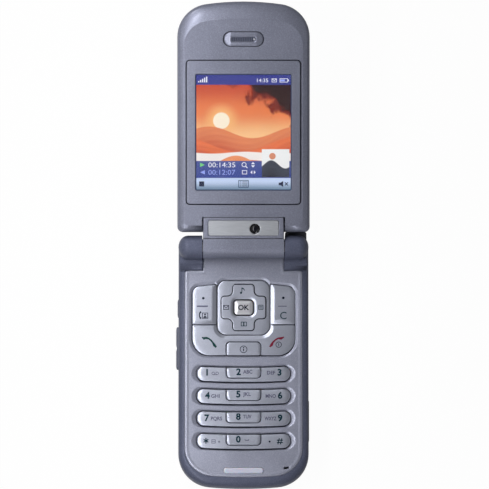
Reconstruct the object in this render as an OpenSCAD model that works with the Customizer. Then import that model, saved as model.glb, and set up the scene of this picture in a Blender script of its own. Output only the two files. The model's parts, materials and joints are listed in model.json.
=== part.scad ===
// Clamshell phone, open on the table: a keypad base with a display lid on a barrel hinge.
// Frame: +X across the phone, +Y from the hinge towards the lid's tip, +Z up out of the keypad.
// The origin is on the base's flat back, straight below the hinge axis.

/* [Base] */
// Width of the base
base_w = 49.2; // [47:0.1:54]
// Height of the keypad face above the table
base_h = 14.5; // [14:0.1:18]
// Distance from the last row of keys to the base's far end
chin_l = 14.7; // [13.2:0.1:24]
// Distance from the hinge axis to the base's end behind it
base_tail = 4.7; // [4.5:0.1:8]
// Radius of the base's far corners
base_corner = 12.9; // [9:0.1:16]
// Radius of the shallow arc across the base's far end
base_arc = 149; // [90:1:250]
// Width of the dark rim beside the front cover
rim_w = 2.3; // [1.8:0.1:3]
// Width of the dark rim at the far end
rim_end = 3.4; // [2.4:0.1:5]
// Height of the rounding of the rim
rim_h = 2.2; // [1.2:0.1:3]
// Thickness of the rear housing's walls
wall = 1.3; // [0.9:0.1:1.8]
// Thickness of the front cover
cover_t = 1.5; // [1:0.1:1.8]

/* [Lid] */
// Width of the lid
lid_w = 50; // [48:0.1:54]
// How far the closed lid reaches past the base
lip_l = 1.8; // [0.5:0.1:4]
// Thickness of the lid
lid_t = 9; // [8.6:0.1:11]
// Air between the closed lid and the keypad face
lid_gap = 0.7; // [0.6:0.05:1.2]
// Radius of the lid's far corners
lid_corner = 12.5; // [9:0.1:16]
// Radius of the shallow arc across the lid's tip
lid_arc = 101; // [80:1:250]
// Width of the rounding along the lid's sides
bevel_w = 2.5; // [1.5:0.1:3]
// Width of the long bevel at the lid's tip
bevel_tip = 6.4; // [3:0.1:7]
// Depth of the bevels round the lid's inner face
bevel_h = 3; // [2:0.1:4]
// Thickness of the lid's side walls
lid_wall = 1.6; // [1:0.1:2]

/* [Hinge] */
// Opening angle of the lid at rest
open_angle = 165; // [150:1:172]
// Radius of the hinge knuckles
hinge_r = 4.35; // [4.2:0.05:4.6]
// Length of the lid's barrel between the knuckles
barrel_l = 30.6; // [29.6:0.1:32]
// Side gap between barrel and knuckle
side_gap = 0.3; // [0.15:0.05:0.5]
// Radius of the shaft and the hollow pin
shaft_r = 1.8; // [1.5:0.05:2]
// Running clearance of the shaft, on the radius
run_fit = 0.05; // [0.02:0.01:0.08]
// Radius of the bore along the barrel
core_r = 2.65; // [2.5:0.05:2.9]

/* [Display] */
// Width of the panel round the display
bezel_w = 43.4; // [42:0.1:44]
// Length of the panel round the display
bezel_l = 54.6; // [53:0.1:56]
// Distance from the hinge axis to the display's middle
screen_y = 43.5; // [42:0.1:46]
// Width of the display window
screen_w = 36.1; // [34:0.1:37]
// Length of the display window
screen_l = 43.7; // [40:0.1:45]
// Thickness of the panel
bezel_t = 1; // [0.7:0.1:1.2]
// Thickness of the display module
lcd_t = 2.8; // [2:0.1:3]

/* [Earpiece and camera] */
// Distance from the hinge axis to the earpiece
ear_y = 78.7; // [76:0.1:80]
// Width of the earpiece insert
ear_w = 15.3; // [12:0.1:17]
// Height of the earpiece insert
ear_l = 5.5; // [4.6:0.1:6]
// Width of the camera plate
plate_w = 26.5; // [22:0.1:28]
// Length of the camera plate
plate_l = 5.7; // [5:0.1:6]
// Camera lens, sideways from the middle
lens_x = 4.3; // [3.8:0.1:6]
// Radius of the camera lens
lens_r = 1.9; // [1.4:0.05:2.2]

/* [Keypad] */
// Gap round every key
key_gap = 0.25; // [0.2:0.01:0.3]
// Height of the keys above the front cover
key_rise = 0.25; // [0.1:0.01:0.3]
// Travel of a key
key_travel = 0.3; // [0.2:0.01:0.35]
// Width of the direction pad
nav_w = 20; // [19:0.1:21]
// Length of the direction pad
nav_l = 21.1; // [20:0.1:22]
// Distance from the hinge axis to the direction pad's middle
nav_y = 22.3; // [22:0.1:23]
// Width of the middle key
ok_w = 7.6; // [6.6:0.1:8]
// Length of the middle key
ok_l = 6; // [5:0.1:6.4]
// Half width of the upper key group
group_x = 19.4; // [18.6:0.1:19.8]
// Length of the soft keys
soft_l = 15.5; // [14:0.1:16]
// Length of the call and end keys
call_l = 11.7; // [11:0.1:12]
// Width of the keys on the centre line
mid_w = 12.9; // [11:0.1:14]
// Length of the number keys on the centre line
mid_l = 4; // [3.6:0.1:4.4]
// Width of a row of number keys
row_w = 35.4; // [33:0.1:37]
// Length of a row of number keys
row_l = 5.6; // [5.4:0.1:6]
// Distance between the rows
row_pitch = 8.6; // [8.2:0.1:9]
// Distance from the upper group to the first row
row_lead = 4.1; // [3.6:0.1:5]
// How far the rows sag in the middle
row_sag = 0.55; // [0:0.05:0.8]

/* [Back and sides] */
// Width of the housing beside the battery
bay_side = 6.6; // [6.3:0.1:9]
// Length of the battery
battery_l = 48.5; // [40:0.5:56]
// Thickness of the battery
battery_t = 5.1; // [4:0.1:5.3]
// Length of the volume rocker
volume_l = 16.4; // [14:0.1:17]
// Length of the small side key
side_key_l = 7.2; // [6:0.1:8]
// Length of the cover over the connector
flap_l = 15; // [12:0.1:16]
// Radius of the stub antenna
stub_r = 4.1; // [3.4:0.1:4.4]
// Length of the stub antenna behind the base
stub_l = 17; // [12:0.5:24]

/* [Hidden] */
$fn = 48;
fit = 0.1;             // clearance of parts that are set into each other
board_t = 0.8;         // circuit boards
inner_h = hinge_r + 0.05;                      // lid's inner face above the axis
outer_h = lid_t - inner_h;                     // lid's outer face below the axis
axis_z = base_h + lid_gap + inner_h;
lid_rise = 180 - open_angle;
lid_start = 5.7;       // lid's hinge end from the axis
lid_heel = 2.6;        // rounding of the lid's hinge end
split_h = -0.6;        // parting plane of the lid's two shells
face_t = bezel_t + 1;  // lid's inner face over its cavity
lid_cavity = 9.5;      // start of the lid's cavity from the axis
skin = 1.2;            // lid's outer face, battery cover and similar skins
knuckle_x = barrel_l / 2 + side_gap;
dome_l = 3.6;          // rounded outer end of a knuckle
low_w = 3;             // rounding below the base's sides
low_h = 3.2;
tail_w = 9;            // the back's upward sweep at the far end
tail_h = 9;
step_y = 7.9;          // front cover's edge before the knuckles
ledge = 0.9;           // shelf that the front cover lies on
drop = 0.3;            // rim's top below the front cover
cavity_in = rim_w + ledge;
board_z = 9.3;         // underside of the main board
film_t = 0.1;
dome_h = 0.25;
mat_z = board_z + board_t + film_t + dome_h + 0.1;
mat_t = 0.6;
stem_z = board_z + board_t + film_t + dome_h + key_travel + 0.1;
stem_r = 1.1;
cap_z = base_h - 1.9;  // underside of the key caps
nav_x = nav_w / 2 + key_gap;
soft_top = nav_y - nav_l / 2 + 1.6;
soft_end = soft_top + soft_l;
call_top = soft_end + key_gap;
call_end = call_top + call_l;
info_l = 5.1;          // centre key of the upper group
row_count = 4;
row_top = call_end + row_lead;
row_end = row_top + (row_count - 1) * row_pitch + row_l;
nav_bevel_w = 1.3;     // slope of the keys towards the direction pad
nav_bevel_h = 0.45;
chamfer_w = 0.8;       // slope of the front cover towards the upper keys
chamfer_h = 0.5;
well_l = 1.7;          // slope of the front cover at the ends of a row
well_w = 0.35;         // and along its sides
well_h = 0.7;
cross_radius = 1.3;    // corners of the cross on the direction pad
groove_w = 0.3;        // groove round the cross
groove_h = 0.4;
nav_reach = 7.6;       // switches of the direction pad from its middle
row_reach = 11.8;      // switches of a row from the centre line
speaker_r = 6.5;
speaker_t = 3.1;
speaker_y = step_y + speaker_r + 1.4;
latch_w = 9;
latch_l = 4;
latch_travel = 1.2;
bay_start = speaker_y + speaker_r + latch_l + latch_travel + 2.5;      // least distance to the bay
bay_end = tail_w + 2;  // from the battery bay to the base's far end
bay_t = battery_t + fit * 2;
bay_z = skin + bay_t;  // ceiling of the battery bay
deck_t = 0.9;
base_l = max(row_end + chin_l, bay_start + battery_l + bay_end);
bay_y = base_l - bay_end - battery_l;
battery_w = base_w - 2 * bay_side;
lid_l = base_l + lip_l;
plate_y = 7.35;        // camera plate from the axis
house_start = 3.4;     // camera housing from the axis
house_end = plate_y + plate_l / 2 + 1.15;

// ---- outlines -------------------------------------------------------------------------------

function arc_points(x, y, r, a0, a1, n) =
    [for (i = [0:n]) let (a = a0 + (a1 - a0) * i / n) [x + r * cos(a), y + r * sin(a)]];

// One half of the phone from above: side half_w from the middle, hinge end at s0 with corners r0,
// far end at s1 with corners r1 that a shallow arc joins.
function half_outline(half_w, s0, s1, arc, r1, r0) =
    let (centre = s1 - arc,
         corner_y = centre + sqrt(pow(arc - r1, 2) - pow(half_w - r1, 2)),
         a = atan2(corner_y - centre, half_w - r1))
    concat(arc_points(half_w - r0, s0 + r0, r0, -90, 0, 4),
           arc_points(half_w - r1, corner_y, r1, 0, a, 12),
           [for (i = [1:7]) let (b = a + (180 - 2 * a) * i / 8) [arc * cos(b), centre + arc * sin(b)]],
           arc_points(r1 - half_w, corner_y, r1, 180 - a, 180, 12),
           arc_points(r0 - half_w, s0 + r0, r0, 180, 270, 4));

function unit(v) = v / norm(v);
function turn_of(a, p, b) = cross(p - a, b - p) < 0 ? -1 : 1;

// The polygon moved outwards by g, corner by corner. Polygons run anticlockwise.
function grown(pts, g) =
    [for (i = [0:len(pts) - 1])
        let (p = pts[i],
             d0 = unit(p - pts[(i + len(pts) - 1) % len(pts)]),
             d1 = unit(pts[(i + 1) % len(pts)] - p),
             n0 = [d0[1], -d0[0]],
             n1 = [d1[1], -d1[0]])
        p + (n0 + n1) * g / (1 + n0 * n1)];

// An arc of radius r in the corner p between a and b.
function corner_arc(a, p, b, r, n) =
    let (u = unit(a - p),
         v = unit(b - p),
         half = acos(u * v) / 2,
         c = p + unit(u + v) * r / sin(half),
         f = p + u * r / tan(half) - c,
         t = p + v * r / tan(half) - c,
         a0 = atan2(f[1], f[0]),
         sweep = (atan2(t[1], t[0]) - a0 + 540) % 360 - 180)
    [for (i = [0:n]) c + r * [cos(a0 + sweep * i / n), sin(a0 + sweep * i / n)]];

// The polygon moved outwards by g, with its corners rounded to the radii rs.
function rounded(pts, rs, g = 0, n = 4) =
    let (q = grown(pts, g), k = len(pts))
    [for (i = [0:k - 1])
        let (a = q[(i + k - 1) % k], b = q[(i + 1) % k],
             r = (is_list(rs) ? rs[i] : rs) + g * turn_of(a, q[i], b))
        each corner_arc(a, q[i], b, max(r, 0.08), n)];

function box_points(w, l, x = 0, y = 0) =
    [[x + w / 2, y - l / 2], [x + w / 2, y + l / 2], [x - w / 2, y + l / 2], [x - w / 2, y - l / 2]];

// ---- solids ---------------------------------------------------------------------------------

// A closed skin through rings of [height, outline], lowest first.
module loft(rings) {
    n = len(rings[0][1]);
    top = len(rings) - 1;
    points = [for (ring = rings) for (p = ring[1]) [p[0], p[1], ring[0]]];
    sides = [for (j = [0:top - 1]) for (i = [0:n - 1])
        [j * n + i, (j + 1) * n + i, (j + 1) * n + (i + 1) % n, j * n + (i + 1) % n]];
    polyhedron(points, concat([[for (i = [0:n - 1]) i]], sides, [[for (i = [n - 1:-1:0]) top * n + i]]));
}

module plate(pts, z0, z1) translate([0, 0, z0]) linear_extrude(z1 - z0) polygon(pts);

module slab(w, l, x, y, z0, z1, r = 0) {
    if (r > 0) plate(rounded(box_points(w, l, x, y), r), z0, z1);
    else plate(box_points(w, l, x, y), z0, z1);
}

module post(x, y, r, z0, z1) translate([x, y, z0]) cylinder(r = r, h = z1 - z0);

// A profile in the plane across the hinge, run along the hinge axis from x0 to x1.
module along_axis(x0, x1) translate([x0, 0, 0]) rotate([90, 0, 90]) linear_extrude(x1 - x0) children();

module rod(x0, x1, r) translate([x0, 0, 0]) rotate([0, 90, 0]) cylinder(r = r, h = x1 - x0);

module tube(x0, x1, r, bore) {
    difference() {
        rod(x0, x1, r);
        rod(x0 - 1, x1 + 1, bore);
    }
}

// Base pieces are drawn with y running from the hinge to the base's far end.
module in_base() mirror([0, 1, 0]) children();

// Lid pieces are drawn with y running from the hinge axis to the lid's tip and z from the axis.
module in_lid() translate([0, 0, axis_z]) rotate([lid_rise, 0, 0]) children();

module at_axis() translate([0, 0, axis_z]) children();

// ---- base: housing --------------------------------------------------------------------------

// Inset of an elliptical edge of width w, at the share q of its height.
function edge_in(q, w) = w * (1 - sqrt(1 - pow(min(max(q, 0), 1), 2)));

rim_z = base_h - drop - rim_h;
base_levels = concat([for (q = [1, 0.88, 0.62, 0.3, 0]) low_h * (1 - q)],
    [(low_h + tail_h) / 2, tail_h],
    [for (q = [0.15, 0.5, 0.75, 0.92, 1]) rim_z + rim_h * q]);

function base_ring(z) =
    let (low = edge_in(1 - z / low_h, low_w),
         tail = edge_in(1 - z / tail_h, tail_w),
         side = low + edge_in((z - rim_z) / rim_h, rim_w - drop),
         far = tail + edge_in((z - rim_z) / rim_h, rim_end - drop))
    [z, half_outline(base_w / 2 - side, side - base_tail, base_l - far, base_arc,
        base_corner - side / 2 - far / 4, max(2.4 - side / 2, 0.5))];

// The domed knuckle's half profile: along the axis, then out from it.
knuckle_end = base_w / 2;
knuckle_edge = concat([[knuckle_x, hinge_r]],
    [for (a = [90:-15:15]) [knuckle_end - dome_l + dome_l * cos(a), hinge_r * sin(a)]]);

module knuckle() {
    hull() {
        at_axis() rotate([0, 90, 0]) rotate_extrude($fn = 32)
            polygon([for (p = concat([[knuckle_x, 0]], knuckle_edge, [[knuckle_end, 0]])) [p[1], p[0]]]);
        plate(concat([for (p = knuckle_edge) [p[0], -p[1]]],
            [for (i = [len(knuckle_edge) - 1:-1:0]) knuckle_edge[i]]), base_h - cover_t, base_h - 1);
    }
    // cove that the closed lid's rounded end lies in
    difference() {
        translate([knuckle_x, hinge_r - 1, base_h - cover_t])
            cube([knuckle_end - 0.7 - knuckle_x, step_y - hinge_r + 1, cover_t + 2]);
        translate([knuckle_x - 1, lid_start + lid_heel, base_h + lid_gap + lid_heel])
            rotate([0, 90, 0]) cylinder(r = lid_heel + 0.5, h = base_w / 2);
    }
}

function cover_outline(g = 0) = half_outline(base_w / 2 - rim_w + g, step_y - g, base_l - rim_end + g,
    base_arc, base_corner - rim_w / 2 - rim_end / 4 + g, 1.2);

mic_place = [base_w / 2 - 8.4, base_l - 7];
screw_places = [for (side = [1, -1])
    for (p = [[base_w / 2 - 6.3, step_y + 4.3], [mic_place[0] - 5.7, base_l - 7.4]])
        [side * p[0], p[1]]];
board_pads = [for (y = [0.06, 0.5, 0.97]) for (side = [-1, 1])
    [side * (base_w / 2 - 7.6), bay_y + y * battery_l]];
key_low = 6.3;         // side keys: underside
key_tall = 3.4;
side_key_y = 21.4;     // middles of the side keys from the axis
volume_y = 36.8;
flap_y = row_end - 11.4;
flap_low = 5.4;
flap_tall = 5.2;
flap_deep = 1;
flap_proud = 0.15;
tongue_w = 5;          // the latch's tongue behind the battery cover's lip
tongue_l = 4.2;
stub_x = base_w / 2 - 4.8;
stub_z = 8.6;
cover_y = bay_y + battery_l / 2 - 0.4;         // battery cover's middle
cover_w = battery_w + 4;
cover_l = battery_l + 4;
latch_y = cover_y - cover_l / 2 - 0.2 - latch_l / 2;
tongue_y = latch_y + 1.5;
contact_x = battery_w / 2 - 8.5;
contact_y = bay_y + 4;
sim_w = 25;
sim_l = 16;
sim_y = bay_y + battery_l - 5 - sim_l / 2;
socket_w = 12;
motor_r = 2;
motor_l = 10;
can_y = bay_y + 8.5;   // shield cans
can_w = (battery_w - 10) / 2;
can_l = sim_y - sim_l / 2 - 2 - can_y;

module side_slot(y, l, g) {
    translate([-base_w / 2 - 2, y - l / 2 - g, key_low - g])
        cube([2 + cavity_in + 0.2, l + 2 * g, key_tall + 2 * g]);
}

module screw_bore(p) {
    post(p[0], p[1], 1.75, -1, 2.1);
    post(p[0], p[1], 0.85, 1, board_z);
}

module latch_space() {
    slab(latch_w + 0.3, latch_l + latch_travel + 0.4, 0, latch_y - latch_travel / 2, -1, skin + 0.1, 0.8);
    slab(tongue_w + 0.3, tongue_l + latch_travel + 0.4, 0, tongue_y - latch_travel / 2,
        skin - 0.1, skin + 0.9);
}

module rear_housing() color([0.27, 0.29, 0.36]) in_base() {
    difference() {
        union() {
            loft([for (z = base_levels) base_ring(z)]);
            knuckle();
            mirror([1, 0, 0]) knuckle();
        }
        // seat of the front cover and its tongue
        plate(cover_outline(0.05), base_h - cover_t, base_h + 0.45);
        slab(barrel_l, step_y + 1, 0, (step_y + 3) / 2, base_h - cover_t, base_h + 0.45);
        // board space, speaker space and battery bay
        plate(half_outline(base_w / 2 - cavity_in, step_y + wall, base_l - rim_end - ledge, base_arc,
            base_corner - cavity_in, 1.5), bay_z + deck_t, base_h);
        slab(2 * (base_w / 2 - cavity_in - 1.2), bay_y - 2 * wall - step_y, 0, (bay_y + step_y) / 2, skin,
            bay_z + deck_t + 1, 1);
        slab(battery_w + 2 * fit, battery_l + 2 * fit, 0, bay_y + battery_l / 2, -1, bay_z);
        slab(cover_w + 2 * fit, cover_l + 2 * fit, 0, cover_y, -1, skin, 3);
        // windows through the deck
        slab(8.4, 4.4, contact_x, contact_y, bay_z - 1, bay_z + deck_t + 1);
        slab(sim_w + 1, sim_l + 1, 0, sim_y, bay_z - 1, bay_z + deck_t + 1);
        slab(3.4, socket_w + 0.6, base_w / 2 - cavity_in - 1.6, flap_y, bay_z + 0.1, bay_z + deck_t + 1);
        // openings in the walls
        side_slot(side_key_y, side_key_l, 0.15);
        side_slot(volume_y, volume_l, 0.15);
        translate([base_w / 2 - cavity_in - 1, flap_y - socket_w / 2, bay_z + 0.3])
            cube([cavity_in + 2, socket_w, 2.3]);
        translate([base_w / 2 - flap_deep, flap_y - flap_l / 2 - 0.15, flap_low - 0.15])
            cube([3, flap_l + 0.3, flap_tall + 0.4]);
        for (i = [-2:2]) slab(7, 0.9, 0, speaker_y + i * 2, -1, skin + 1, 0.4);
        latch_space();
        // hinge shaft, hollow pin and aerial
        at_axis() rod(-knuckle_end + 1.4, 0, shaft_r);
        at_axis() rod(0, knuckle_end - 1.4, shaft_r);
        translate([stub_x, -base_tail - 1, stub_z]) rotate([-90, 0, 0]) cylinder(r = 2, h = 5.5);
        for (p = screw_places) screw_bore(p);
    }
    for (p = board_pads) post(p[0], p[1], 1.2, bay_z + deck_t - 0.2, board_z);
    for (p = screw_places) difference() {
        post(p[0], p[1], 2.2, skin - 0.1, board_z - 0.2);
        screw_bore(p);
    }
    difference() {
        post(0, speaker_y, speaker_r + 0.6, skin - 0.1, skin + 1.6);
        post(0, speaker_y, speaker_r + 0.05, 0, skin + 2);
        latch_space();
    }
}

// ---- base: keys -----------------------------------------------------------------------------

key_top = base_h + key_rise;

function soft_points(side) =
    let (inner = nav_x, outer = group_x)
    side > 0 ? [[inner, soft_end], [inner, soft_top], [outer, soft_top + 0.9], [outer, soft_end]]
             : [[-outer, soft_end], [-outer, soft_top + 0.9], [-inner, soft_top], [-inner, soft_end]];

function nav_points() = box_points(nav_w, nav_l, 0, nav_y);

// The cross on the direction pad: x and y are its reach, w and l the middle key with a margin.
function cross_points() =
    let (x = nav_w / 2 - 1.5, y = nav_l / 2 - 1.55, w = ok_w / 2 + 0.3, l = ok_l / 2 + 1.4)
    [for (p = [[x, -l], [x, l], [w, l], [w, y], [-w, y], [-w, l], [-x, l], [-x, -l], [-w, -l], [-w, -y],
               [w, -y], [w, -l]]) p + [0, nav_y]];

// The call and end keys are one moulding that wraps the direction pad and the info key.
function call_points() = box_points(2 * group_x, call_l, 0, call_top + call_l / 2);
call_radii = [0.3, 6.4, 6.4, 0.3];
nav_radius = 3.5;

function info_points() = box_points(mid_w, info_l, 0, call_end - info_l / 2);

function row_y(i) = row_top + row_l / 2 + i * row_pitch;
function sag(x) = row_sag * (1 - pow(x / (row_w / 2), 2));

// A row of keys: a long round-ended bar, bent down in the middle, grown by g and by more at its ends.
function row_points(i, g = 0, ends = 0) =
    let (r = row_l / 2 + g, c = row_w / 2 - row_l / 2 + ends, y = row_y(i))
    concat([for (a = [-90:22.5:90]) [c + r * cos(a), y + r * sin(a) + sag(c)]],
           [for (k = [1:9]) let (x = c - c * k / 5) [x, y + r + sag(x)]],
           [for (a = [90:22.5:270]) [-c + r * cos(a), y + r * sin(a) + sag(c)]],
           [for (k = [1:9]) let (x = c * k / 5 - c) [x, y - r + sag(x)]]);

function mid_points(i) = box_points(mid_w, mid_l, 0, row_y(i) - row_l / 2 + row_sag + mid_l / 2);

// Where every key presses its switch: the middles of the stems.
stems = concat(
    [for (y = [nav_y - 0.7, call_end - call_l / 2 + 0.25]) for (side = [-1, 1]) [side * (group_x - 4.7), y]],
    [[0, call_end - info_l / 2], [0, nav_y]],
    [[0, nav_y - nav_reach], [0, nav_y + nav_reach], [-nav_reach, nav_y], [nav_reach, nav_y]],
    [for (i = [0:row_count - 1]) for (x = [-row_reach, row_reach]) [x, row_y(i) + 0.3]],
    [for (i = [0:row_count - 1]) [0, row_y(i) - row_l / 2 + row_sag + mid_l / 2]]);

module stem(p) post(p[0], p[1], stem_r, stem_z, cap_z + 0.2);

// Cuts a slope of width w and height h round a recess, down from z.
module flare(pts, radii, z, w, h) {
    loft([[z - h, rounded(pts, radii, key_gap)],
          [z + 0.1, rounded(pts, radii, key_gap + w * (1 + 0.1 / h))]]);
}

// A key cap with an edge rounded over two bevels.
module cap(pts, radii, top, edge = 0.5, n = 4) {
    loft([[cap_z, rounded(pts, radii, 0, n)],
          [top - edge, rounded(pts, radii, 0, n)],
          [top - 0.3 * edge, rounded(pts, radii, -0.3 * edge, n)],
          [top, rounded(pts, radii, -edge, n)]]);
}

function soft_radii(side) = side > 0 ? [0.3, 0.4, 3, 0.3] : [0.3, 3, 0.4, 0.3];

module soft_key(side) color([0.74, 0.76, 0.82]) in_base() {
    difference() {
        cap(soft_points(side), soft_radii(side), key_top);
        flare(nav_points(), nav_radius, key_top, nav_bevel_w, nav_bevel_h);
    }
    stem(side > 0 ? stems[1] : stems[0]);
}
module left_soft_key() soft_key(-1);
module right_soft_key() soft_key(1);

module call_end_key() color([0.74, 0.76, 0.82]) in_base() {
    difference() {
        cap(call_points(), call_radii, key_top);
        plate(rounded(nav_points(), nav_radius, key_gap), cap_z - 1, key_top + 1);
        plate(rounded(info_points() + [[0, 0], [0, 2], [0, 2], [0, 0]], 1.4, key_gap),
            cap_z - 1, key_top + 1);
        flare(nav_points(), nav_radius, key_top, nav_bevel_w, nav_bevel_h);
    }
    stem(stems[2]);
    stem(stems[3]);
}

module info_key() color([0.74, 0.76, 0.82]) in_base() {
    cap(info_points(), [1.4, 0.3, 0.3, 1.4], key_top);
    stem(stems[4]);
}

module ok_key() color([0.85, 0.86, 0.88]) in_base() {
    cap(box_points(ok_w, ok_l, 0, nav_y), 1.5, key_top + 0.05, 0.9);
    stem(stems[5]);
}

// The direction pad rocks sideways on its actuator, and the actuator rocks up and down on the base.
module nav_pad() color([0.78, 0.8, 0.85]) in_base() {
    difference() {
        cap(nav_points(), nav_radius, base_h, 0.5);
        plate(rounded(box_points(ok_w, ok_l, 0, nav_y), 1.6, key_gap), cap_z - 1, base_h + 1);
        flare(box_points(ok_w, ok_l, 0, nav_y), 1.6, base_h, 0.8, 0.5);
        // groove round the cross that the four legends stand on
        difference() {
            plate(rounded(cross_points(), cross_radius, groove_w / 2), base_h - groove_h, base_h + 1);
            plate(rounded(cross_points(), cross_radius, -groove_w / 2), base_h - groove_h - 1, base_h + 2);
        }
    }
    stem(stems[8]);
    stem(stems[9]);
}

actuator_top = cap_z - 0.25;
actuator_t = 0.9;

module nav_actuator() color([0.5, 0.5, 0.5]) in_base() {
    difference() {
        union() {
            post(0, nav_y, 6, actuator_top - actuator_t, actuator_top);
            slab(3, 2 * nav_reach + 2, 0, nav_y, actuator_top - actuator_t, actuator_top);
        }
        post(0, nav_y, 4.6, cap_z - 3, cap_z);
    }
    for (i = [6, 7]) post(stems[i][0], stems[i][1], stem_r, stem_z, actuator_top - 0.2);
}

module row_keys(i) color([0.74, 0.76, 0.82]) in_base() {
    difference() {
        loft([[cap_z, row_points(i)], [key_top - 0.6, row_points(i)],
              [key_top - 0.3, row_points(i, -0.12)], [key_top - 0.1, row_points(i, -0.4)],
              [key_top, row_points(i, -0.9)]]);
        plate(rounded(concat([mid_points(i)[0] - [0, 2]], [mid_points(i)[1], mid_points(i)[2]],
            [mid_points(i)[3] - [0, 2]]), [0.3, 1.5, 1.5, 0.3], key_gap), cap_z - 1, key_top + 1);
    }
    stem(stems[10 + 2 * i]);
    stem(stems[11 + 2 * i]);
}
module row_one_keys() row_keys(0);
module row_two_keys() row_keys(1);
module row_three_keys() row_keys(2);
module row_four_keys() row_keys(3);

module mid_key(i) color([0.74, 0.76, 0.82]) in_base() {
    cap(mid_points(i), [0.3, 1.4, 1.4, 0.3], key_top);
    stem(stems[10 + 2 * row_count + i]);
}
module key_two() mid_key(0);
module key_five() mid_key(1);
module key_eight() mid_key(2);
module key_zero() mid_key(3);

// ---- base: front cover ----------------------------------------------------------------------

bumper_w = 15.1;
bumper_l = 2.4;
bumper_y = base_l - 5.9;

module key_opening(pts, radii) {
    plate(rounded(pts, radii, key_gap), cap_z, base_h + 1);
    flare(pts, radii, base_h, chamfer_w, chamfer_h);
}

module front_cover() color([0.57, 0.58, 0.64]) in_base() {
    difference() {
        union() {
            loft([[base_h - cover_t, cover_outline()], [base_h - 0.35, cover_outline()],
                  [base_h - 0.08, cover_outline(-0.12)], [base_h, cover_outline(-0.4)]]);
            slab(barrel_l - 0.2, step_y, 0, 1.1 + step_y / 2, base_h - cover_t, base_h);
            for (p = screw_places) post(p[0], p[1], 1.8, board_z - 0.2, base_h - cover_t + 0.5);
        }
        for (p = screw_places) post(p[0], p[1], 0.7, board_z - 1, base_h - cover_t);
        // one opening for the upper group
        for (side = [-1, 1]) key_opening(soft_points(side), soft_radii(side));
        key_opening(call_points(), call_radii);
        key_opening(nav_points(), nav_radius);
        for (i = [0:row_count - 1]) {
            plate(row_points(i, key_gap), cap_z, base_h + 1);
            loft([[base_h - well_h, row_points(i, key_gap + 0.05)],
                  [base_h + 0.1, row_points(i, key_gap + well_w, well_l)]]);
        }
        slab(bumper_w + fit, bumper_l + fit, 0, bumper_y, base_h - 0.8, base_h + 1, bumper_l / 2 - 0.02);
        translate([mic_place[0], mic_place[1], base_h - 4]) rotate([0, 0, 12])
            plate(rounded(box_points(2.1, 1), 0.3), 0, 8);
    }
}

module bumper_pad() color([0.82, 0.83, 0.88]) in_base() {
    loft([[base_h - 0.8, rounded(box_points(bumper_w, bumper_l, 0, bumper_y), 1.15)],
          [base_h + 0.2, rounded(box_points(bumper_w, bumper_l, 0, bumper_y), 1.15)],
          [base_h + 0.45, rounded(box_points(bumper_w, bumper_l, 0, bumper_y), 1.15, -0.35)]]);
}

// ---- base: inside ---------------------------------------------------------------------------

board_y = 12.4;        // near edge of the main board

module boss_notches(z) for (p = screw_places) post(p[0], p[1], 2.4, z - 1, z + 2);

module keypad_sheet(z, t) {
    difference() {
        slab(2 * group_x - 2.8, row_end - board_y, 0, (row_end + board_y) / 2, z, z + t, 1);
        boss_notches(z);
    }
}

module circuit_board() color([0.1, 0.35, 0.2]) in_base() {
    difference() {
        plate(half_outline(base_w / 2 - cavity_in - 0.9, board_y, base_l - 10, base_arc, 6, 1),
            board_z, board_z + board_t);
        boss_notches(board_z);
    }
}

module shield_cans() color([0.75, 0.76, 0.78]) in_base() {
    for (side = [-1, 1])
        slab(can_w, can_l, side * (can_w / 2 + 1), can_y + can_l / 2, board_z - 1.6, board_z, 0.6);
}

module battery() color([0.2, 0.2, 0.22]) in_base()
    slab(battery_w, battery_l, 0, bay_y + battery_l / 2, skin + fit, skin + fit + battery_t, 1.2);

module battery_cover() color([0.27, 0.29, 0.36]) in_base() {
    loft([[0, rounded(box_points(cover_w, cover_l, 0, cover_y), 3, -0.35)],
          [0.35, rounded(box_points(cover_w, cover_l, 0, cover_y), 3)],
          [skin, rounded(box_points(cover_w, cover_l, 0, cover_y), 3)]]);
}

module battery_latch() color([0.3, 0.32, 0.4]) in_base() {
    difference() {
        slab(latch_w, latch_l, 0, latch_y, 0.15, skin, 0.7);
        for (i = [-1:1]) slab(latch_w - 2, 0.5, 0, latch_y + i * 1.1, 0, 0.4);
    }
    slab(tongue_w, tongue_l, 0, tongue_y, skin, skin + 0.7);
}

module battery_contacts() color([0.12, 0.12, 0.13]) in_base() {
    slab(8, 4, contact_x, contact_y, skin + 2 * fit + battery_t, board_z);
}

module sim_holder() color([0.72, 0.73, 0.75]) in_base()
    slab(sim_w, sim_l, 0, sim_y, bay_z + 0.2, board_z, 0.5);

module loudspeaker() color([0.15, 0.15, 0.16]) in_base() {
    post(0, speaker_y, speaker_r, skin, skin + speaker_t - 0.6);
    post(0, speaker_y, speaker_r - 2, skin, skin + speaker_t);
}

module vibration_motor() color([0.7, 0.7, 0.72]) in_base()
    translate([speaker_r + 6.9, bay_start - motor_l - 4.5, skin + motor_r]) rotate([-90, 0, 0])
        cylinder(r = motor_r, h = motor_l);

module microphone() color([0.1, 0.1, 0.1]) in_base()
    post(mic_place[0] - 1, mic_place[1] - 1.1, 1.6, base_h - cover_t - 1.5, base_h - cover_t);

module keypad_mat() color([0.9, 0.9, 0.9]) in_base() {
    difference() {
        keypad_sheet(mat_z, mat_t);
        for (p = stems) post(p[0], p[1], stem_r + 0.35, mat_z - 1, mat_z + 1);
    }
}

module dome_sheet() color([0.8, 0.8, 0.78]) in_base() {
    z = board_z + board_t;
    keypad_sheet(z, film_t);
    for (p = stems) translate([p[0], p[1], z]) cylinder(r1 = 2, r2 = 1.2, h = film_t + dome_h);
}

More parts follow.
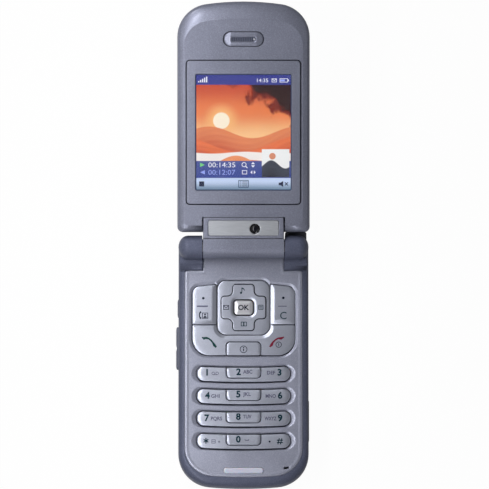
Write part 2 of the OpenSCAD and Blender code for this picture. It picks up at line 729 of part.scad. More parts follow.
module side_switches() color([0.6, 0.6, 0.6]) in_base() {
    for (y = [side_key_y, volume_y - volume_l / 4, volume_y + volume_l / 4])
        slab(2, 3.4, -base_w / 2 + cavity_in + 2, y, board_z - 1.7, board_z);
}

module data_connector() color([0.7, 0.7, 0.72]) in_base() {
    difference() {
        slab(3, socket_w, base_w / 2 - cavity_in - 1.6, flap_y, bay_z + 0.2, board_z);
        slab(3, socket_w - 2, base_w / 2 - cavity_in - 0.6, flap_y, bay_z + 0.9, board_z - 0.7);
    }
}

module side_cover() color([0.2, 0.21, 0.26]) in_base() {
    translate([base_w / 2 - flap_deep, flap_y, flap_low]) rotate([90, 0, 90])
        plate(rounded(box_points(flap_l, flap_tall, 0, flap_tall / 2), 1), 0, flap_deep + flap_proud);
    slab(0.7, socket_w - 2, base_w / 2 - flap_deep - 0.25, flap_y, bay_z + 0.9, bay_z + 2.1);
}

module side_button(y, l, proud) {
    x = -base_w / 2 - proud;
    translate([x, y, key_low]) rotate([90, 0, 90]) loft([
        [0, rounded(box_points(l, key_tall, 0, key_tall / 2), 0.8, -0.5)],
        [0.5, rounded(box_points(l, key_tall, 0, key_tall / 2), 0.8)],
        [proud + cavity_in - 0.3, rounded(box_points(l, key_tall, 0, key_tall / 2), 0.8)]]);
}

module side_key() color([0.3, 0.32, 0.4]) in_base() side_button(side_key_y, side_key_l, 0.4);

module volume_rocker() color([0.3, 0.32, 0.4]) in_base() {
    difference() {
        side_button(volume_y, volume_l, 0.9);
        translate([-base_w / 2 - 1.5, volume_y, key_low - 1]) cylinder(r = 1.1, h = key_tall + 2);
    }
}

module antenna() color([0.15, 0.16, 0.2]) in_base()
    translate([stub_x, -base_tail, stub_z]) rotate([90, 0, 0]) rotate_extrude()
        polygon([[0, -4], [2, -4], [2, 0], [stub_r, 0], [stub_r, 3], [stub_r - 0.35, 3.4],
            [stub_r - 0.7, stub_l - 2.4], [stub_r - 1.1, stub_l - 1.2], [stub_r - 2, stub_l - 0.35],
            [stub_r - 3.2, stub_l], [0, stub_l]]);

module housing_screws() color([0.6, 0.6, 0.62]) in_base() {
    for (p = screw_places) {
        difference() {
            post(p[0], p[1], 1.6, 0.9, 2.1);
            for (a = [0, 90]) translate([p[0], p[1], 0.9]) rotate([0, 0, a])
                cube([1.9, 0.4, 0.9], center = true);
        }
        post(p[0], p[1], 0.7, 2.1, base_h - cover_t - 0.5);
    }
}

// ---- hinge ----------------------------------------------------------------------------------

barrel_end = barrel_l / 2;
cartridge_l = 11.5;
bush_l = 7;
shaft_in = 7.8;        // reach of the shaft into the barrel
cable_r = 1.1;

module hinge_shaft() color([0.75, 0.75, 0.77]) at_axis()
    rod(-knuckle_end + 1.6, -barrel_end + shaft_in, shaft_r);

module hinge_pin() color([0.75, 0.75, 0.77]) at_axis()
    tube(barrel_end - bush_l + 0.2, knuckle_end - 1.6, shaft_r, cable_r + fit);

module hinge_cartridge() color([0.6, 0.6, 0.63]) in_lid() difference() {
    rod(-barrel_end + 0.3, -barrel_end + 0.3 + cartridge_l, core_r);
    rod(-barrel_end - 1, -barrel_end + shaft_in + 1, shaft_r + run_fit);
}

module hinge_bush() color([0.85, 0.82, 0.7]) in_lid()
    tube(barrel_end - 0.3 - bush_l, barrel_end - 0.3, core_r, shaft_r + run_fit);

module flex_cable() color([0.7, 0.45, 0.15]) in_lid()
    tube(barrel_end - bush_l - 10.3, knuckle_x + 4.4, cable_r, cable_r - 0.25);

// ---- lid ------------------------------------------------------------------------------------

lid_levels = concat([split_h], [for (q = [0, 0.4, 0.7, 0.9, 1]) inner_h - bevel_h * (1 - q)]);
back_levels = concat([for (q = [1, 0.9, 0.7, 0.4, 0]) -outer_h + 3 * (1 - q)], [split_h]);
back_side = 3;
back_tip = 5.4;
back_heel = 1.6;

// Ring of the inner shell at height z: rounded sides, a rounded heel and a long bevel at the tip.
function lid_ring(z) =
    let (q = max(0, (z - inner_h + bevel_h) / bevel_h),
         heel = edge_in((z - inner_h + lid_heel) / lid_heel, lid_heel),
         side = edge_in(q, bevel_w), tip = bevel_tip * pow(q, 1.7))
    [z, half_outline(lid_w / 2 - side, lid_start + heel, lid_l - tip, lid_arc,
        lid_corner - side / 2 - tip / 4, 2)];

function back_ring(z) =
    let (q = (-z - outer_h + 3) / 3, side = edge_in(q, back_side))
    [z, half_outline(lid_w / 2 - side, lid_start + edge_in(q, back_heel), lid_l - edge_in(q, back_tip),
        lid_arc, lid_corner - side, 2)];

function lid_cavity_outline() = half_outline(lid_w / 2 - lid_wall, lid_cavity, lid_l - lid_wall, lid_arc,
    lid_corner - lid_wall, 1);

bezel_z = inner_h - bezel_t;
lid_screw_places = [for (y = [screen_y - bezel_l / 2 + 2.4, screen_y + bezel_l / 2 - 2.4])
    for (side = [-1, 1]) [side * (bezel_w / 2 - 1.8), y]];
sub_w = 24;            // outer display window
sub_l = 18;
sub_y = 55;
ear_pts = box_points(ear_w, ear_l, 0, ear_y);
slot_l = 1.9;          // slot of the earpiece
house_w = barrel_l - 0.2;
house_z = 1;
house_top = inner_h + 0.1;
barrel_edge = concat([[lid_start + 0.8, split_h], [lid_start + 0.8, inner_h]],
    [for (a = [90:7.5:270]) inner_h * [cos(a), sin(a)]],
    [[lid_start - 0.1, -inner_h], [lid_start - 0.1, split_h]]);

module lid_inner_cover() color([0.49, 0.5, 0.56]) in_lid() {
    difference() {
        union() {
            loft([for (z = lid_levels) lid_ring(z)]);
            along_axis(-barrel_l / 2, barrel_l / 2) polygon(barrel_edge);
        }
        plate(lid_cavity_outline(), split_h - 1, inner_h - face_t);
        slab(bezel_w + 0.3, bezel_l + 0.3, 0, screen_y, bezel_z, inner_h + 1, 1.6);
        slab(screen_w + 0.9, screen_l + 1.6, 0, screen_y, inner_h - face_t - 1, inner_h);
        plate(rounded(ear_pts, ear_l / 2 - 0.02, 0.1), inner_h - 1.2, inner_h + 1);
        slab(ear_w - 4, ear_l - 2.5, 0, ear_y, inner_h - face_t - 1, inner_h, 1.2);
        slab(house_w + 1, house_end - house_start + 0.3, 0, (house_end + house_start) / 2,
            house_z, inner_h + 1);
        slab(6.8, 6.6, lens_x, plate_y - 0.3, split_h - 0.01, house_z + 1);
        rod(-barrel_l, barrel_l, core_r);
        for (p = lid_screw_places) {
            post(p[0], p[1], 0.8, 0, inner_h);
            post(p[0], p[1], 1.6, bezel_z - 0.75, inner_h);
        }
    }
}

module lid_outer_cover() color([0.27, 0.29, 0.36]) in_lid() {
    difference() {
        loft([for (z = back_levels) back_ring(z)]);
        plate(lid_cavity_outline(), -outer_h + skin, split_h + 1);
        slab(sub_w + 2 * fit, sub_l + 2 * fit, 0, sub_y, -outer_h - 1, -outer_h + 0.8, 2);
        slab(sub_w - 2, sub_l - 2, 0, sub_y, -outer_h, -outer_h + skin + 1, 1);
    }
    difference() {
        union() {
            for (p = lid_screw_places) post(p[0], p[1], 1.55, -outer_h + skin - 0.1, inner_h - face_t);
            for (y = [lid_cavity + 6.5, ear_y - 8.7]) for (side = [-1, 1])
                post(side * (screen_w / 2 - 4), y, 1.3, -outer_h + skin - 0.1, split_h + 0.1);
        }
        for (p = lid_screw_places) post(p[0], p[1], 0.7, -2.6, inner_h);
    }
}

module display_bezel() color([0.45, 0.46, 0.52]) in_lid() difference() {
    slab(bezel_w, bezel_l, 0, screen_y, bezel_z, inner_h, 1.5);
    slab(screen_w + fit, screen_l + fit, 0, screen_y, bezel_z - 1, inner_h + 1, 0.6);
}

module display_window() color([0.3, 0.35, 0.6]) in_lid()
    slab(screen_w, screen_l, 0, screen_y, bezel_z, inner_h - 0.15, 0.5);

module display_module() color([0.15, 0.2, 0.4]) in_lid()
    slab(screen_w + 0.7, screen_l + 1.4, 0, screen_y, bezel_z - 0.05 - lcd_t, bezel_z - 0.05);

module lid_circuit_board() color([0.1, 0.35, 0.2]) in_lid()
    plate(half_outline(screen_w / 2 - 0.25, lid_cavity + 4.5, ear_y - 6.7, 2 * lid_arc, 2, 2),
        split_h + 0.1, split_h + 0.1 + board_t);

module outer_window() color([0.1, 0.1, 0.14]) in_lid()
    slab(sub_w, sub_l, 0, sub_y, -outer_h, -outer_h + 0.8, 1.9);

module outer_display() color([0.2, 0.22, 0.3]) in_lid()
    slab(sub_w - 1, sub_l - 1, 0, sub_y, -outer_h + skin, split_h - 0.4);

module earpiece_grille() color([0.42, 0.43, 0.5]) in_lid() difference() {
    loft([[inner_h - 1.2, rounded(ear_pts, ear_l / 2 - 0.05)],
          [inner_h - 0.3, rounded(ear_pts, ear_l / 2 - 0.05)],
          [inner_h + 0.25, rounded(box_points(ear_w - 5, ear_l - 1.6, 0, ear_y), ear_l / 2 - 0.85)]]);
    slab(ear_w - 6, slot_l, 0, ear_y, inner_h - 2, inner_h + 1, slot_l / 2 - 0.05);
}

module earpiece_speaker() color([0.15, 0.15, 0.16]) in_lid()
    post(0, ear_y, 5, -0.3, inner_h - face_t);

module camera_housing() color([0.44, 0.45, 0.51]) in_lid() difference() {
    slab(house_w, house_end - house_start, 0, (house_end + house_start) / 2, house_z, house_top, 0.6);
    slab(plate_w + 2 * fit, plate_l + 2 * fit, 0, plate_y, house_top - 0.55, house_top + 1, 0.8);
    post(lens_x, plate_y - 0.3, 2.3, 0, house_top);
}

module camera_plate() color([0.68, 0.69, 0.72]) in_lid() difference() {
    slab(plate_w, plate_l, 0, plate_y, house_top - 0.55, house_top - 0.05, 0.7);
    post(lens_x, plate_y - 0.3, lens_r + 0.1, 0, house_top + 1);
}

module camera_lens() color([0.05, 0.05, 0.06]) in_lid() {
    post(lens_x, plate_y - 0.3, lens_r, house_top - 1.1, house_top - 0.15);
}

module camera_module() color([0.1, 0.1, 0.12]) in_lid() {
    slab(6.4, 6.2, lens_x, plate_y - 0.3, split_h + 0.1, house_z);
    post(lens_x, plate_y - 0.3, 2.2, house_z, house_top - 1.1);
}

module lid_screws() color([0.6, 0.6, 0.62]) in_lid() {
    for (p = lid_screw_places) {
        difference() {
            post(p[0], p[1], 1.45, bezel_z - 0.75, bezel_z - 0.05);
            for (a = [0, 90]) translate([p[0], p[1], bezel_z]) rotate([0, 0, a])
                cube([1.7, 0.35, 0.8], center = true);
        }
        post(p[0], p[1], 0.65, -2.5, bezel_z - 0.75);
    }
}

rear_housing();
front_cover();
battery();
battery_cover();
battery_latch();
circuit_board();
shield_cans();
battery_contacts();
sim_holder();
loudspeaker();
vibration_motor();
microphone();
keypad_mat();
dome_sheet();
side_switches();
data_connector();
side_cover();
side_key();
volume_rocker();
antenna();
bumper_pad();
housing_screws();
hinge_shaft();
hinge_pin();
nav_pad();
nav_actuator();
ok_key();
left_soft_key();
right_soft_key();
call_end_key();
info_key();
row_one_keys();
row_two_keys();
row_three_keys();
row_four_keys();
key_two();
key_five();
key_eight();
key_zero();
lid_inner_cover();
lid_outer_cover();
display_bezel();
display_window();
display_module();
lid_circuit_board();
outer_window();
outer_display();
earpiece_grille();
earpiece_speaker();
camera_housing();
camera_plate();
camera_lens();
camera_module();
hinge_cartridge();
hinge_bush();
flex_cable();
lid_screws();
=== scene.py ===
# Open clamshell phone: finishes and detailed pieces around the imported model.
# Sizes in the dictionaries are millimetres, colours are display values from 0 to 255.
# Base pieces: x across, y = minus the distance from the hinge, z up from the table.
# Lid pieces are drawn flat with y towards the lid's tip, and lidPlace tilts them.
import json
import math
import bpy
import bmesh
from mathutils import Matrix, Vector
from mathutils.bvhtree import BVHTree


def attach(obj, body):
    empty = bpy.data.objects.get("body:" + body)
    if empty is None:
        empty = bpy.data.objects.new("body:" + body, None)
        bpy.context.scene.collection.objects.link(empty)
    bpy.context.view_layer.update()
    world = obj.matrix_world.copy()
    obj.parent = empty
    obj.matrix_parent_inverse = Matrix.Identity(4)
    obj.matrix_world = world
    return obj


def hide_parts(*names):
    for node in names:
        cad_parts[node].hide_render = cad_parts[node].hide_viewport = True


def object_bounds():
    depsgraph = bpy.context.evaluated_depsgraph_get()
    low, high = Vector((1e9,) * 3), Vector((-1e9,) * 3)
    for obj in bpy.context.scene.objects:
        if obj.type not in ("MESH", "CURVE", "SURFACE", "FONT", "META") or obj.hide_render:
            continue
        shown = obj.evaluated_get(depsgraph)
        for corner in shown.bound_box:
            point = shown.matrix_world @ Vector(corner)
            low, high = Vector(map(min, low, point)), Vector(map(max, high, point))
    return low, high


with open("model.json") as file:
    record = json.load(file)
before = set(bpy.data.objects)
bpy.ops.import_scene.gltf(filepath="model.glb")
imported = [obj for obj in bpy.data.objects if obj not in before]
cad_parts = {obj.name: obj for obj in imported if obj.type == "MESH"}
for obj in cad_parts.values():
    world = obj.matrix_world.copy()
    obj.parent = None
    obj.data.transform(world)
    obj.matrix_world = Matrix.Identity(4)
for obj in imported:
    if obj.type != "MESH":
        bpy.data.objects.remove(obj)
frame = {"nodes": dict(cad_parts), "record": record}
cadBox = [list(corner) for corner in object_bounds()]
cadNodes = frame["nodes"]
record = frame["record"]
print("frame loaded:", len(cadNodes), "nodes")

phone = {"axisZ": 19.6, "lidTilt": 15, "innerFace": 4.4}
lidPlace = Matrix.Translation((0, 0, phone["axisZ"])) @ Matrix.Rotation(math.radians(phone["lidTilt"]), 4, "X")
basePlace = Matrix.Identity(4)
toMetres = Matrix.Scale(0.001, 4)


# ---- colours and nodes

def toLinear(colour):
    shares = [v / 255 for v in colour]
    return (*[v / 12.92 if v <= 0.04045 else ((v + 0.055) / 1.055) ** 2.4 for v in shares], 1.0)


def setInputs(tree, node, inputs):
    # a socket is linked, a plain value is typed in
    for name, value in inputs.items():
        if isinstance(value, bpy.types.NodeSocket):
            tree.links.new(value, node.inputs[name])
        else:
            node.inputs[name].default_value = value


def addNode(tree, kind, inputs=None, **settings):
    node = tree.nodes.new("ShaderNode" + kind)
    for name, value in settings.items():
        setattr(node, name, value)
    setInputs(tree, node, inputs or {})
    return node


def calc(tree, operation, *values, clamp=False):
    return addNode(tree, "Math", dict(enumerate(values)), operation=operation, use_clamp=clamp).outputs[0]


def times(tree, first, second):
    return calc(tree, "MULTIPLY", first, second)


def mixColour(tree, share, first, second, blend="MIX"):
    return addNode(tree, "Mix", {0: share, 6: first, 7: second}, data_type="RGBA", blend_type=blend).outputs[2]


def ramp(tree, value, low, high, first=0.0, second=1.0):
    limits = {0: value, 1: low, 2: high, 3: first, 4: second}
    return addNode(tree, "MapRange", limits, interpolation_type="SMOOTHSTEP").outputs[0]


def objectPlace(tree):
    return addNode(tree, "TexCoord").outputs["Object"]


def noise(tree, scale, detail, place=None, distortion=0.0):
    inputs = {"Vector": place or objectPlace(tree), "Scale": scale, "Detail": detail, "Distortion": distortion}
    return addNode(tree, "TexNoise", inputs).outputs[0]


def startGroup(name, inputs, *outputs):
    # an input that starts as four numbers is a colour, and so is the output named Colour
    group = bpy.data.node_groups.new(name, "ShaderNodeTree")
    for label, value in inputs.items():
        kind = "NodeSocketColor" if isinstance(value, tuple) else "NodeSocketFloat"
        group.interface.new_socket(label, in_out="INPUT", socket_type=kind).default_value = value
    for label in outputs:
        kind = "NodeSocketColor" if label == "Colour" else "NodeSocketFloat"
        group.interface.new_socket(label, in_out="OUTPUT", socket_type=kind)
    return group, group.nodes.new("NodeGroupInput").outputs, group.nodes.new("NodeGroupOutput")


patternInputs = {"Colour": (0.5, 0.5, 0.5, 1), "Second": (0.6, 0.6, 0.6, 1), "Scale": 1000.0, "Amount": 0.2,
                 "Rough": 0.4, "Spread": 0.1}


def patternGroup(name, draw):
    # draw gives a mask for the second colour, what the roughness follows, a height and a shade
    group, given, result = startGroup(name, patternInputs, "Colour", "Roughness", "Height")
    mask, dulling, height, shade = draw(group, objectPlace(group), given["Scale"])
    share = times(group, mask, given["Amount"])
    colour = mixColour(group, share, given["Colour"], given["Second"])
    if shade:
        colour = mixColour(group, 1.0, colour, shade, "MULTIPLY")
    roughness = calc(group, "MULTIPLY_ADD", dulling, given["Spread"], given["Rough"])
    setInputs(group, result, {"Colour": colour, "Roughness": roughness, "Height": height or share})
    return group


def metalFlake(group, place, scale):
    # fine flakes that lie at slightly different angles, and wide faint patches from spraying
    flakes = addNode(group, "TexVoronoi", {"Vector": place, "Scale": scale})
    glint = addNode(group, "SeparateColor", {0: flakes.outputs["Color"]}).outputs[0]
    tone = ramp(group, noise(group, 55.0, 3.0), 0.3, 0.7, 0.95, 1.05)
    shade = addNode(group, "CombineColor", {0: tone, 1: tone, 2: tone}).outputs[0]
    return ramp(group, glint, 0.35, 1.0), glint, glint, shade


def mouldedGrain(group, place, scale):
    # the fine spark-eroded texture of moulded plastic or rubber
    grain = noise(group, scale, 4.0, place)
    return ramp(group, grain, 0.35, 0.75), noise(group, 90.0, 2.0), grain, None


def brushedLines(group, place, scale):
    # long scratches across the phone from a brushing wheel
    drawn = addNode(group, "VectorMath", {0: place, 1: (0.03, 1.0, 1.0)}, operation="MULTIPLY").outputs[0]
    lines = noise(group, scale, 5.0, drawn)
    return ramp(group, lines, 0.35, 0.65), lines, lines, None


def boardTraces(group, place, scale):
    # copper tracks and solder dots under the green lacquer
    cell = {"Vector": place, "Scale": scale}
    cells = addNode(group, "TexVoronoi", cell, feature="F1", distance="CHEBYCHEV").outputs[0]
    borders = addNode(group, "TexVoronoi", cell, feature="DISTANCE_TO_EDGE").outputs[0]
    tracks, dots = ramp(group, borders, 0.04, 0.07, 1.0, 0.0), ramp(group, cells, 0.10, 0.14, 1.0, 0.0)
    return calc(group, "MAXIMUM", tracks, dots), dots, None, None


def edgeWear():
    # paint rubbed thin along the outer edges, broken up by noise
    group, given, result = startGroup("edgeWear", {"Colour": (0.5, 0.5, 0.5, 1), "Bare": (0.8, 0.8, 0.8, 1),
                                                   "Width": 0.0003, "Amount": 0.3}, "Colour")
    rounded = addNode(group, "Bevel", {"Radius": given["Width"]}, samples=4).outputs[0]
    straight = addNode(group, "NewGeometry").outputs["Normal"]
    facing = addNode(group, "VectorMath", {0: rounded, 1: straight}, operation="DOT_PRODUCT").outputs["Value"]
    broken = ramp(group, noise(group, 420.0, 4.0), 0.35, 0.65)
    mask = times(group, times(group, ramp(group, facing, 0.97, 0.80), broken), given["Amount"])
    setInputs(group, result, {"Colour": mixColour(group, mask, given["Colour"], given["Bare"])})
    return group


def handling():
    # faint finger marks that dull or polish a surface
    group, given, result = startGroup("handling", {"Rough": 0.4, "Amount": 0.1}, "Roughness")
    smears = noise(group, 70.0, 5.0, distortion=0.8)
    change = times(group, calc(group, "SUBTRACT", smears, 0.5), given["Amount"])
    setInputs(group, result, {"Roughness": calc(group, "ADD", given["Rough"], change, clamp=True)})
    return group


patterns = {kind: patternGroup(draw.__name__, draw) for kind, draw in
            (("flake", metalFlake), ("moulded", mouldedGrain), ("brushed", brushedLines), ("board", boardTraces))}
edgeWearGroup = edgeWear()
handlingGroup = handling()

# pattern, base colour, colour of its flakes, grain, scratches or tracks, cells per metre, amount, roughness, spread
# bump: depth of the pattern in millimetres; edge: brightness at grazing angles; bare, wear: rubbed edges
finishes = {
    "bodyPaint": ("flake", (78, 82, 101), (116, 121, 142), 5200, 0.3, 0.40, 0.10,
                  dict(metallic=0.2, coat=0.04, edge=0.3, bare=(120, 124, 140), wear=0.25)),
    "coverPaint": ("flake", (138, 141, 158), (188, 190, 206), 5200, 0.25, 0.34, 0.12,
                   dict(metallic=0.45, coat=0.15, bare=(190, 192, 204), wear=0.2)),
    "lidPaint": ("flake", (117, 120, 136), (168, 171, 188), 5200, 0.25, 0.34, 0.12,
                 dict(metallic=0.45, coat=0.08, edge=0.3, bare=(180, 182, 194), wear=0.2)),
    "keySilver": ("flake", (166, 170, 185), (204, 207, 219), 6500, 0.25, 0.33, 0.08,
                  dict(metallic=0.8, coat=0.2, bare=(205, 207, 214), wear=0.15)),
    "okSilver": ("flake", (206, 206, 212), (230, 230, 234), 6500, 0.25, 0.30, 0.06,
                 dict(metallic=0.75, coat=0.3, bare=(225, 225, 228), wear=0.1)),
    "sideTrim": ("moulded", (70, 74, 92), (84, 88, 106), 5200, 0.5, 0.38, 0.12, dict(metallic=0.15, bump=0.006)),
    "plateSilver": ("brushed", (156, 159, 166), (182, 184, 190), 9000, 0.5, 0.34, 0.14, dict(metallic=0.6, bump=0.003)),
    "bumperPlastic": ("moulded", (182, 184, 200), (198, 200, 214), 2600, 0.4, 0.34, 0.10, dict(subsurface=0.3, bump=0.002)),
    "rubberDark": ("moulded", (44, 46, 56), (58, 60, 70), 4200, 0.6, 0.72, 0.12, dict(bump=0.008)),
    "silicone": ("moulded", (214, 214, 212), (226, 226, 224), 2400, 0.4, 0.5, 0.1, dict(subsurface=0.35, bump=0.003)),
    "plasticBlack": ("moulded", (28, 28, 31), (40, 40, 44), 5200, 0.5, 0.55, 0.12, dict(specular=0.3, bump=0.005)),
    "lensBlack": ("moulded", (5, 5, 8), (9, 9, 13), 900, 0.3, 0.08, 0.03, dict(specular=0.25, coat=0.3)),
    "darkGlass": ("moulded", (14, 15, 22), (18, 20, 28), 900, 0.3, 0.08, 0.03, dict(specular=0.25, coat=0.3)),
    "boardGreen": ("board", (16, 74, 42), (64, 122, 66), 620, 0.8, 0.34, -0.1, dict(coat=0.3, bump=0.01)),
    "steel": ("brushed", (170, 171, 176), (196, 197, 200), 6000, 0.5, 0.26, 0.16, dict(metallic=1.0, bump=0.002)),
    "film": ("moulded", (198, 198, 190), (212, 212, 204), 1800, 0.4, 0.42, 0.1, dict(bump=0.002)),
    "flexAmber": ("brushed", (176, 112, 30), (206, 150, 62), 2200, 0.5, 0.3, 0.1, dict(bump=0.003)),
    "bushPlastic": ("moulded", (214, 208, 184), (226, 220, 198), 3000, 0.4, 0.42, 0.1, dict(bump=0.002)),
    "batteryWrap": ("moulded", (46, 47, 52), (60, 62, 68), 1400, 0.5, 0.36, 0.14, dict(bump=0.002)),
    # painted shade: this dark colour on gap walls and groove floors stands for the shade in them; the earpiece grille
    # bars also use it as their own dark colour
    "grooveDark": ("moulded", (30, 33, 44), (40, 43, 54), 4000, 0.4, 0.6, 0.1, dict(specular=0.2)),
}
inks = {"printTeal": ((6, 42, 54), (12, 52, 64)), "printGrey": ((78, 78, 102), (90, 90, 114)),
        "printDark": ((18, 26, 44), (28, 36, 54)), "printGreen": ((4, 52, 50), (10, 64, 60)),
        "printRed": ((104, 16, 44), (122, 26, 54))}
lights = {"litWhite": (244, 246, 250), "litBlue": (156, 172, 240), "litNavy": (26, 34, 66), "litGreen": (120, 214, 130),
          "litGrey": (70, 92, 120)}


def makeMaterial(name):
    material = bpy.data.materials.new(name)
    material.use_nodes = True
    return material, material.node_tree, material.node_tree.nodes["Principled BSDF"]


def makeFinish(name, pattern, colour, second, scale, amount, rough, spread, more):
    material, tree, shader = makeMaterial(name)
    material.diffuse_color = toLinear(colour)
    drawn = addNode(tree, "Group", {"Colour": toLinear(colour), "Second": toLinear(second), "Scale": scale, "Amount": amount,
                                    "Rough": rough, "Spread": spread}, node_tree=patterns[pattern]).outputs
    baseColour = drawn["Colour"]
    if "wear" in more:
        worn = {"Colour": baseColour, "Bare": toLinear(more["bare"]), "Amount": more["wear"]}
        baseColour = addNode(tree, "Group", worn, node_tree=edgeWearGroup).outputs["Colour"]
    touched = addNode(tree, "Group", {"Rough": drawn["Roughness"], "Amount": 0.16}, node_tree=handlingGroup)
    bump = addNode(tree, "Bump", {"Height": drawn["Height"], "Strength": 0.35, "Distance": more.get("bump", 0.0015) * 0.001})
    setInputs(tree, shader, {
        "Base Color": baseColour, "Roughness": touched.outputs[0], "Normal": bump.outputs[0],
        "Metallic": more.get("metallic", 0.0), "Coat Weight": more.get("coat", 0.0), "Coat Roughness": 0.12,
        "Specular Tint": (*[more.get("edge", 1.0)] * 3, 1), "Specular IOR Level": more.get("specular", 0.5)})
    if "subsurface" in more:
        setInputs(tree, shader, {"Subsurface Weight": more["subsurface"], "Subsurface Scale": 0.001})
    return material


def makeGlass(name, colour):
    # clear moulded window: the colour shifts faintly where the hard coat is thicker
    material, tree, shader = makeMaterial(name)
    haze = noise(tree, 60.0, 2.0)
    low, high = toLinear(colour), toLinear([min(255, v + 5) for v in colour])
    setInputs(tree, shader, {
        "Base Color": mixColour(tree, ramp(tree, haze, 0.3, 0.7), low, high),
        "Roughness": ramp(tree, haze, 0.3, 0.7, 0.0, 0.03),
        "Transmission Weight": 1.0, "IOR": 1.2, "Specular IOR Level": 0.2})
    material.diffuse_color = (*low[:3], 0.35)
    return material


def makeLit(name, draw):
    # a lit surface on the display: draw gives its colour
    material, tree, shader = makeMaterial(name)
    setInputs(tree, shader, {"Emission Color": draw(tree), "Emission Strength": 1.0, "Base Color": (0.01, 0.01, 0.01, 1),
                             "Specular IOR Level": 0.1})
    return material


def backlight(tree, colour):
    # the light behind a sign fades a little here and there
    low, high = toLinear([v * 0.94 for v in colour]), toLinear(colour)
    return mixColour(tree, ramp(tree, noise(tree, 40.0, 1.0), 0.3, 0.6), low, high)


for name, colours in inks.items():
    finishes[name] = ("moulded", *colours, 5000, 0.5, 0.55, 0.1, dict(specular=0.15))
paints = {name: makeFinish(name, *row) for name, row in finishes.items()}
paints["displayGlass"] = makeGlass("displayGlass", (246, 247, 250))
for name, colour in lights.items():
    paints[name] = makeLit(name, lambda tree: backlight(tree, colour))
print("finishes made:", len(paints))


# ---- the display picture

picture = {
    "bars": {"softKeys": 0.108, "info": 0.254, "status": 0.9075, "statusColour": (54, 60, 142),
             "infoColours": [(58, 72, 146), (74, 86, 150)], "keyColours": [(104, 130, 154), (196, 212, 240)]},
    "sky": [(250, 196, 138), (236, 128, 74), (198, 74, 46)],
    "sun": dict(place=(0.27, 0.60), radius=0.085, colour=(255, 240, 214), halo=(250, 186, 120)),
    # height of the crest, swing, waves across, start, sunlit and shaded colour
    "ridges": [dict(crest=0.50, swing=0.050, waves=1.1, start=0.6, colour=(228, 134, 88), shade=(204, 92, 62)),
               dict(crest=0.40, swing=0.070, waves=0.8, start=2.4, colour=(232, 118, 72), shade=(184, 62, 44)),
               dict(crest=0.24, swing=0.060, waves=1.3, start=4.4, colour=(238, 150, 100), shade=(196, 80, 52))],
    "lake": dict(low=0.255, high=0.325, colour=(244, 236, 230)),
    "cloud": dict(colour=(40, 10, 10), edge=(128, 40, 28)),
    "border": (34, 48, 82),
    "inset": dict(left=0.69, right=0.975, low=0.115, high=0.355, sky=(240, 240, 238), moon=(214, 140, 108),
                  hill=dict(crest=0.225, swing=0.035, waves=3.4, start=3.6, colour=(62, 66, 80), shade=(24, 26, 34))),
}


def ridgeGroup():
    # a dune or hill: its own colour below a wavy crest, with a shaded lee side
    group, given, result = startGroup("ridge", {
        "Under": (0, 0, 0, 1), "Colour": (1, 1, 1, 1), "Shade": (0, 0, 0, 1), "Across": 0.0, "Up": 0.0, "Crest": 0.5,
        "Swing": 0.1, "Waves": 1.0, "Start": 0.0}, "Colour")
    phase = calc(group, "MULTIPLY_ADD", given["Across"], times(group, given["Waves"], 6.283), given["Start"])
    crest = calc(group, "MULTIPLY_ADD", calc(group, "SINE", phase), given["Swing"], given["Crest"])
    depth = calc(group, "SUBTRACT", crest, given["Up"])
    ripples = calc(group, "SINE", calc(group, "MULTIPLY_ADD", depth, 130.0, times(group, given["Across"], 21.0)))
    lee = calc(group, "ADD", ramp(group, depth, 0.0, 0.22), times(group, ripples, 0.10), clamp=True)
    surface = mixColour(group, lee, given["Colour"], given["Shade"])
    setInputs(group, result, {"Colour": mixColour(group, ramp(group, depth, -0.004, 0.004), given["Under"], surface)})
    return group


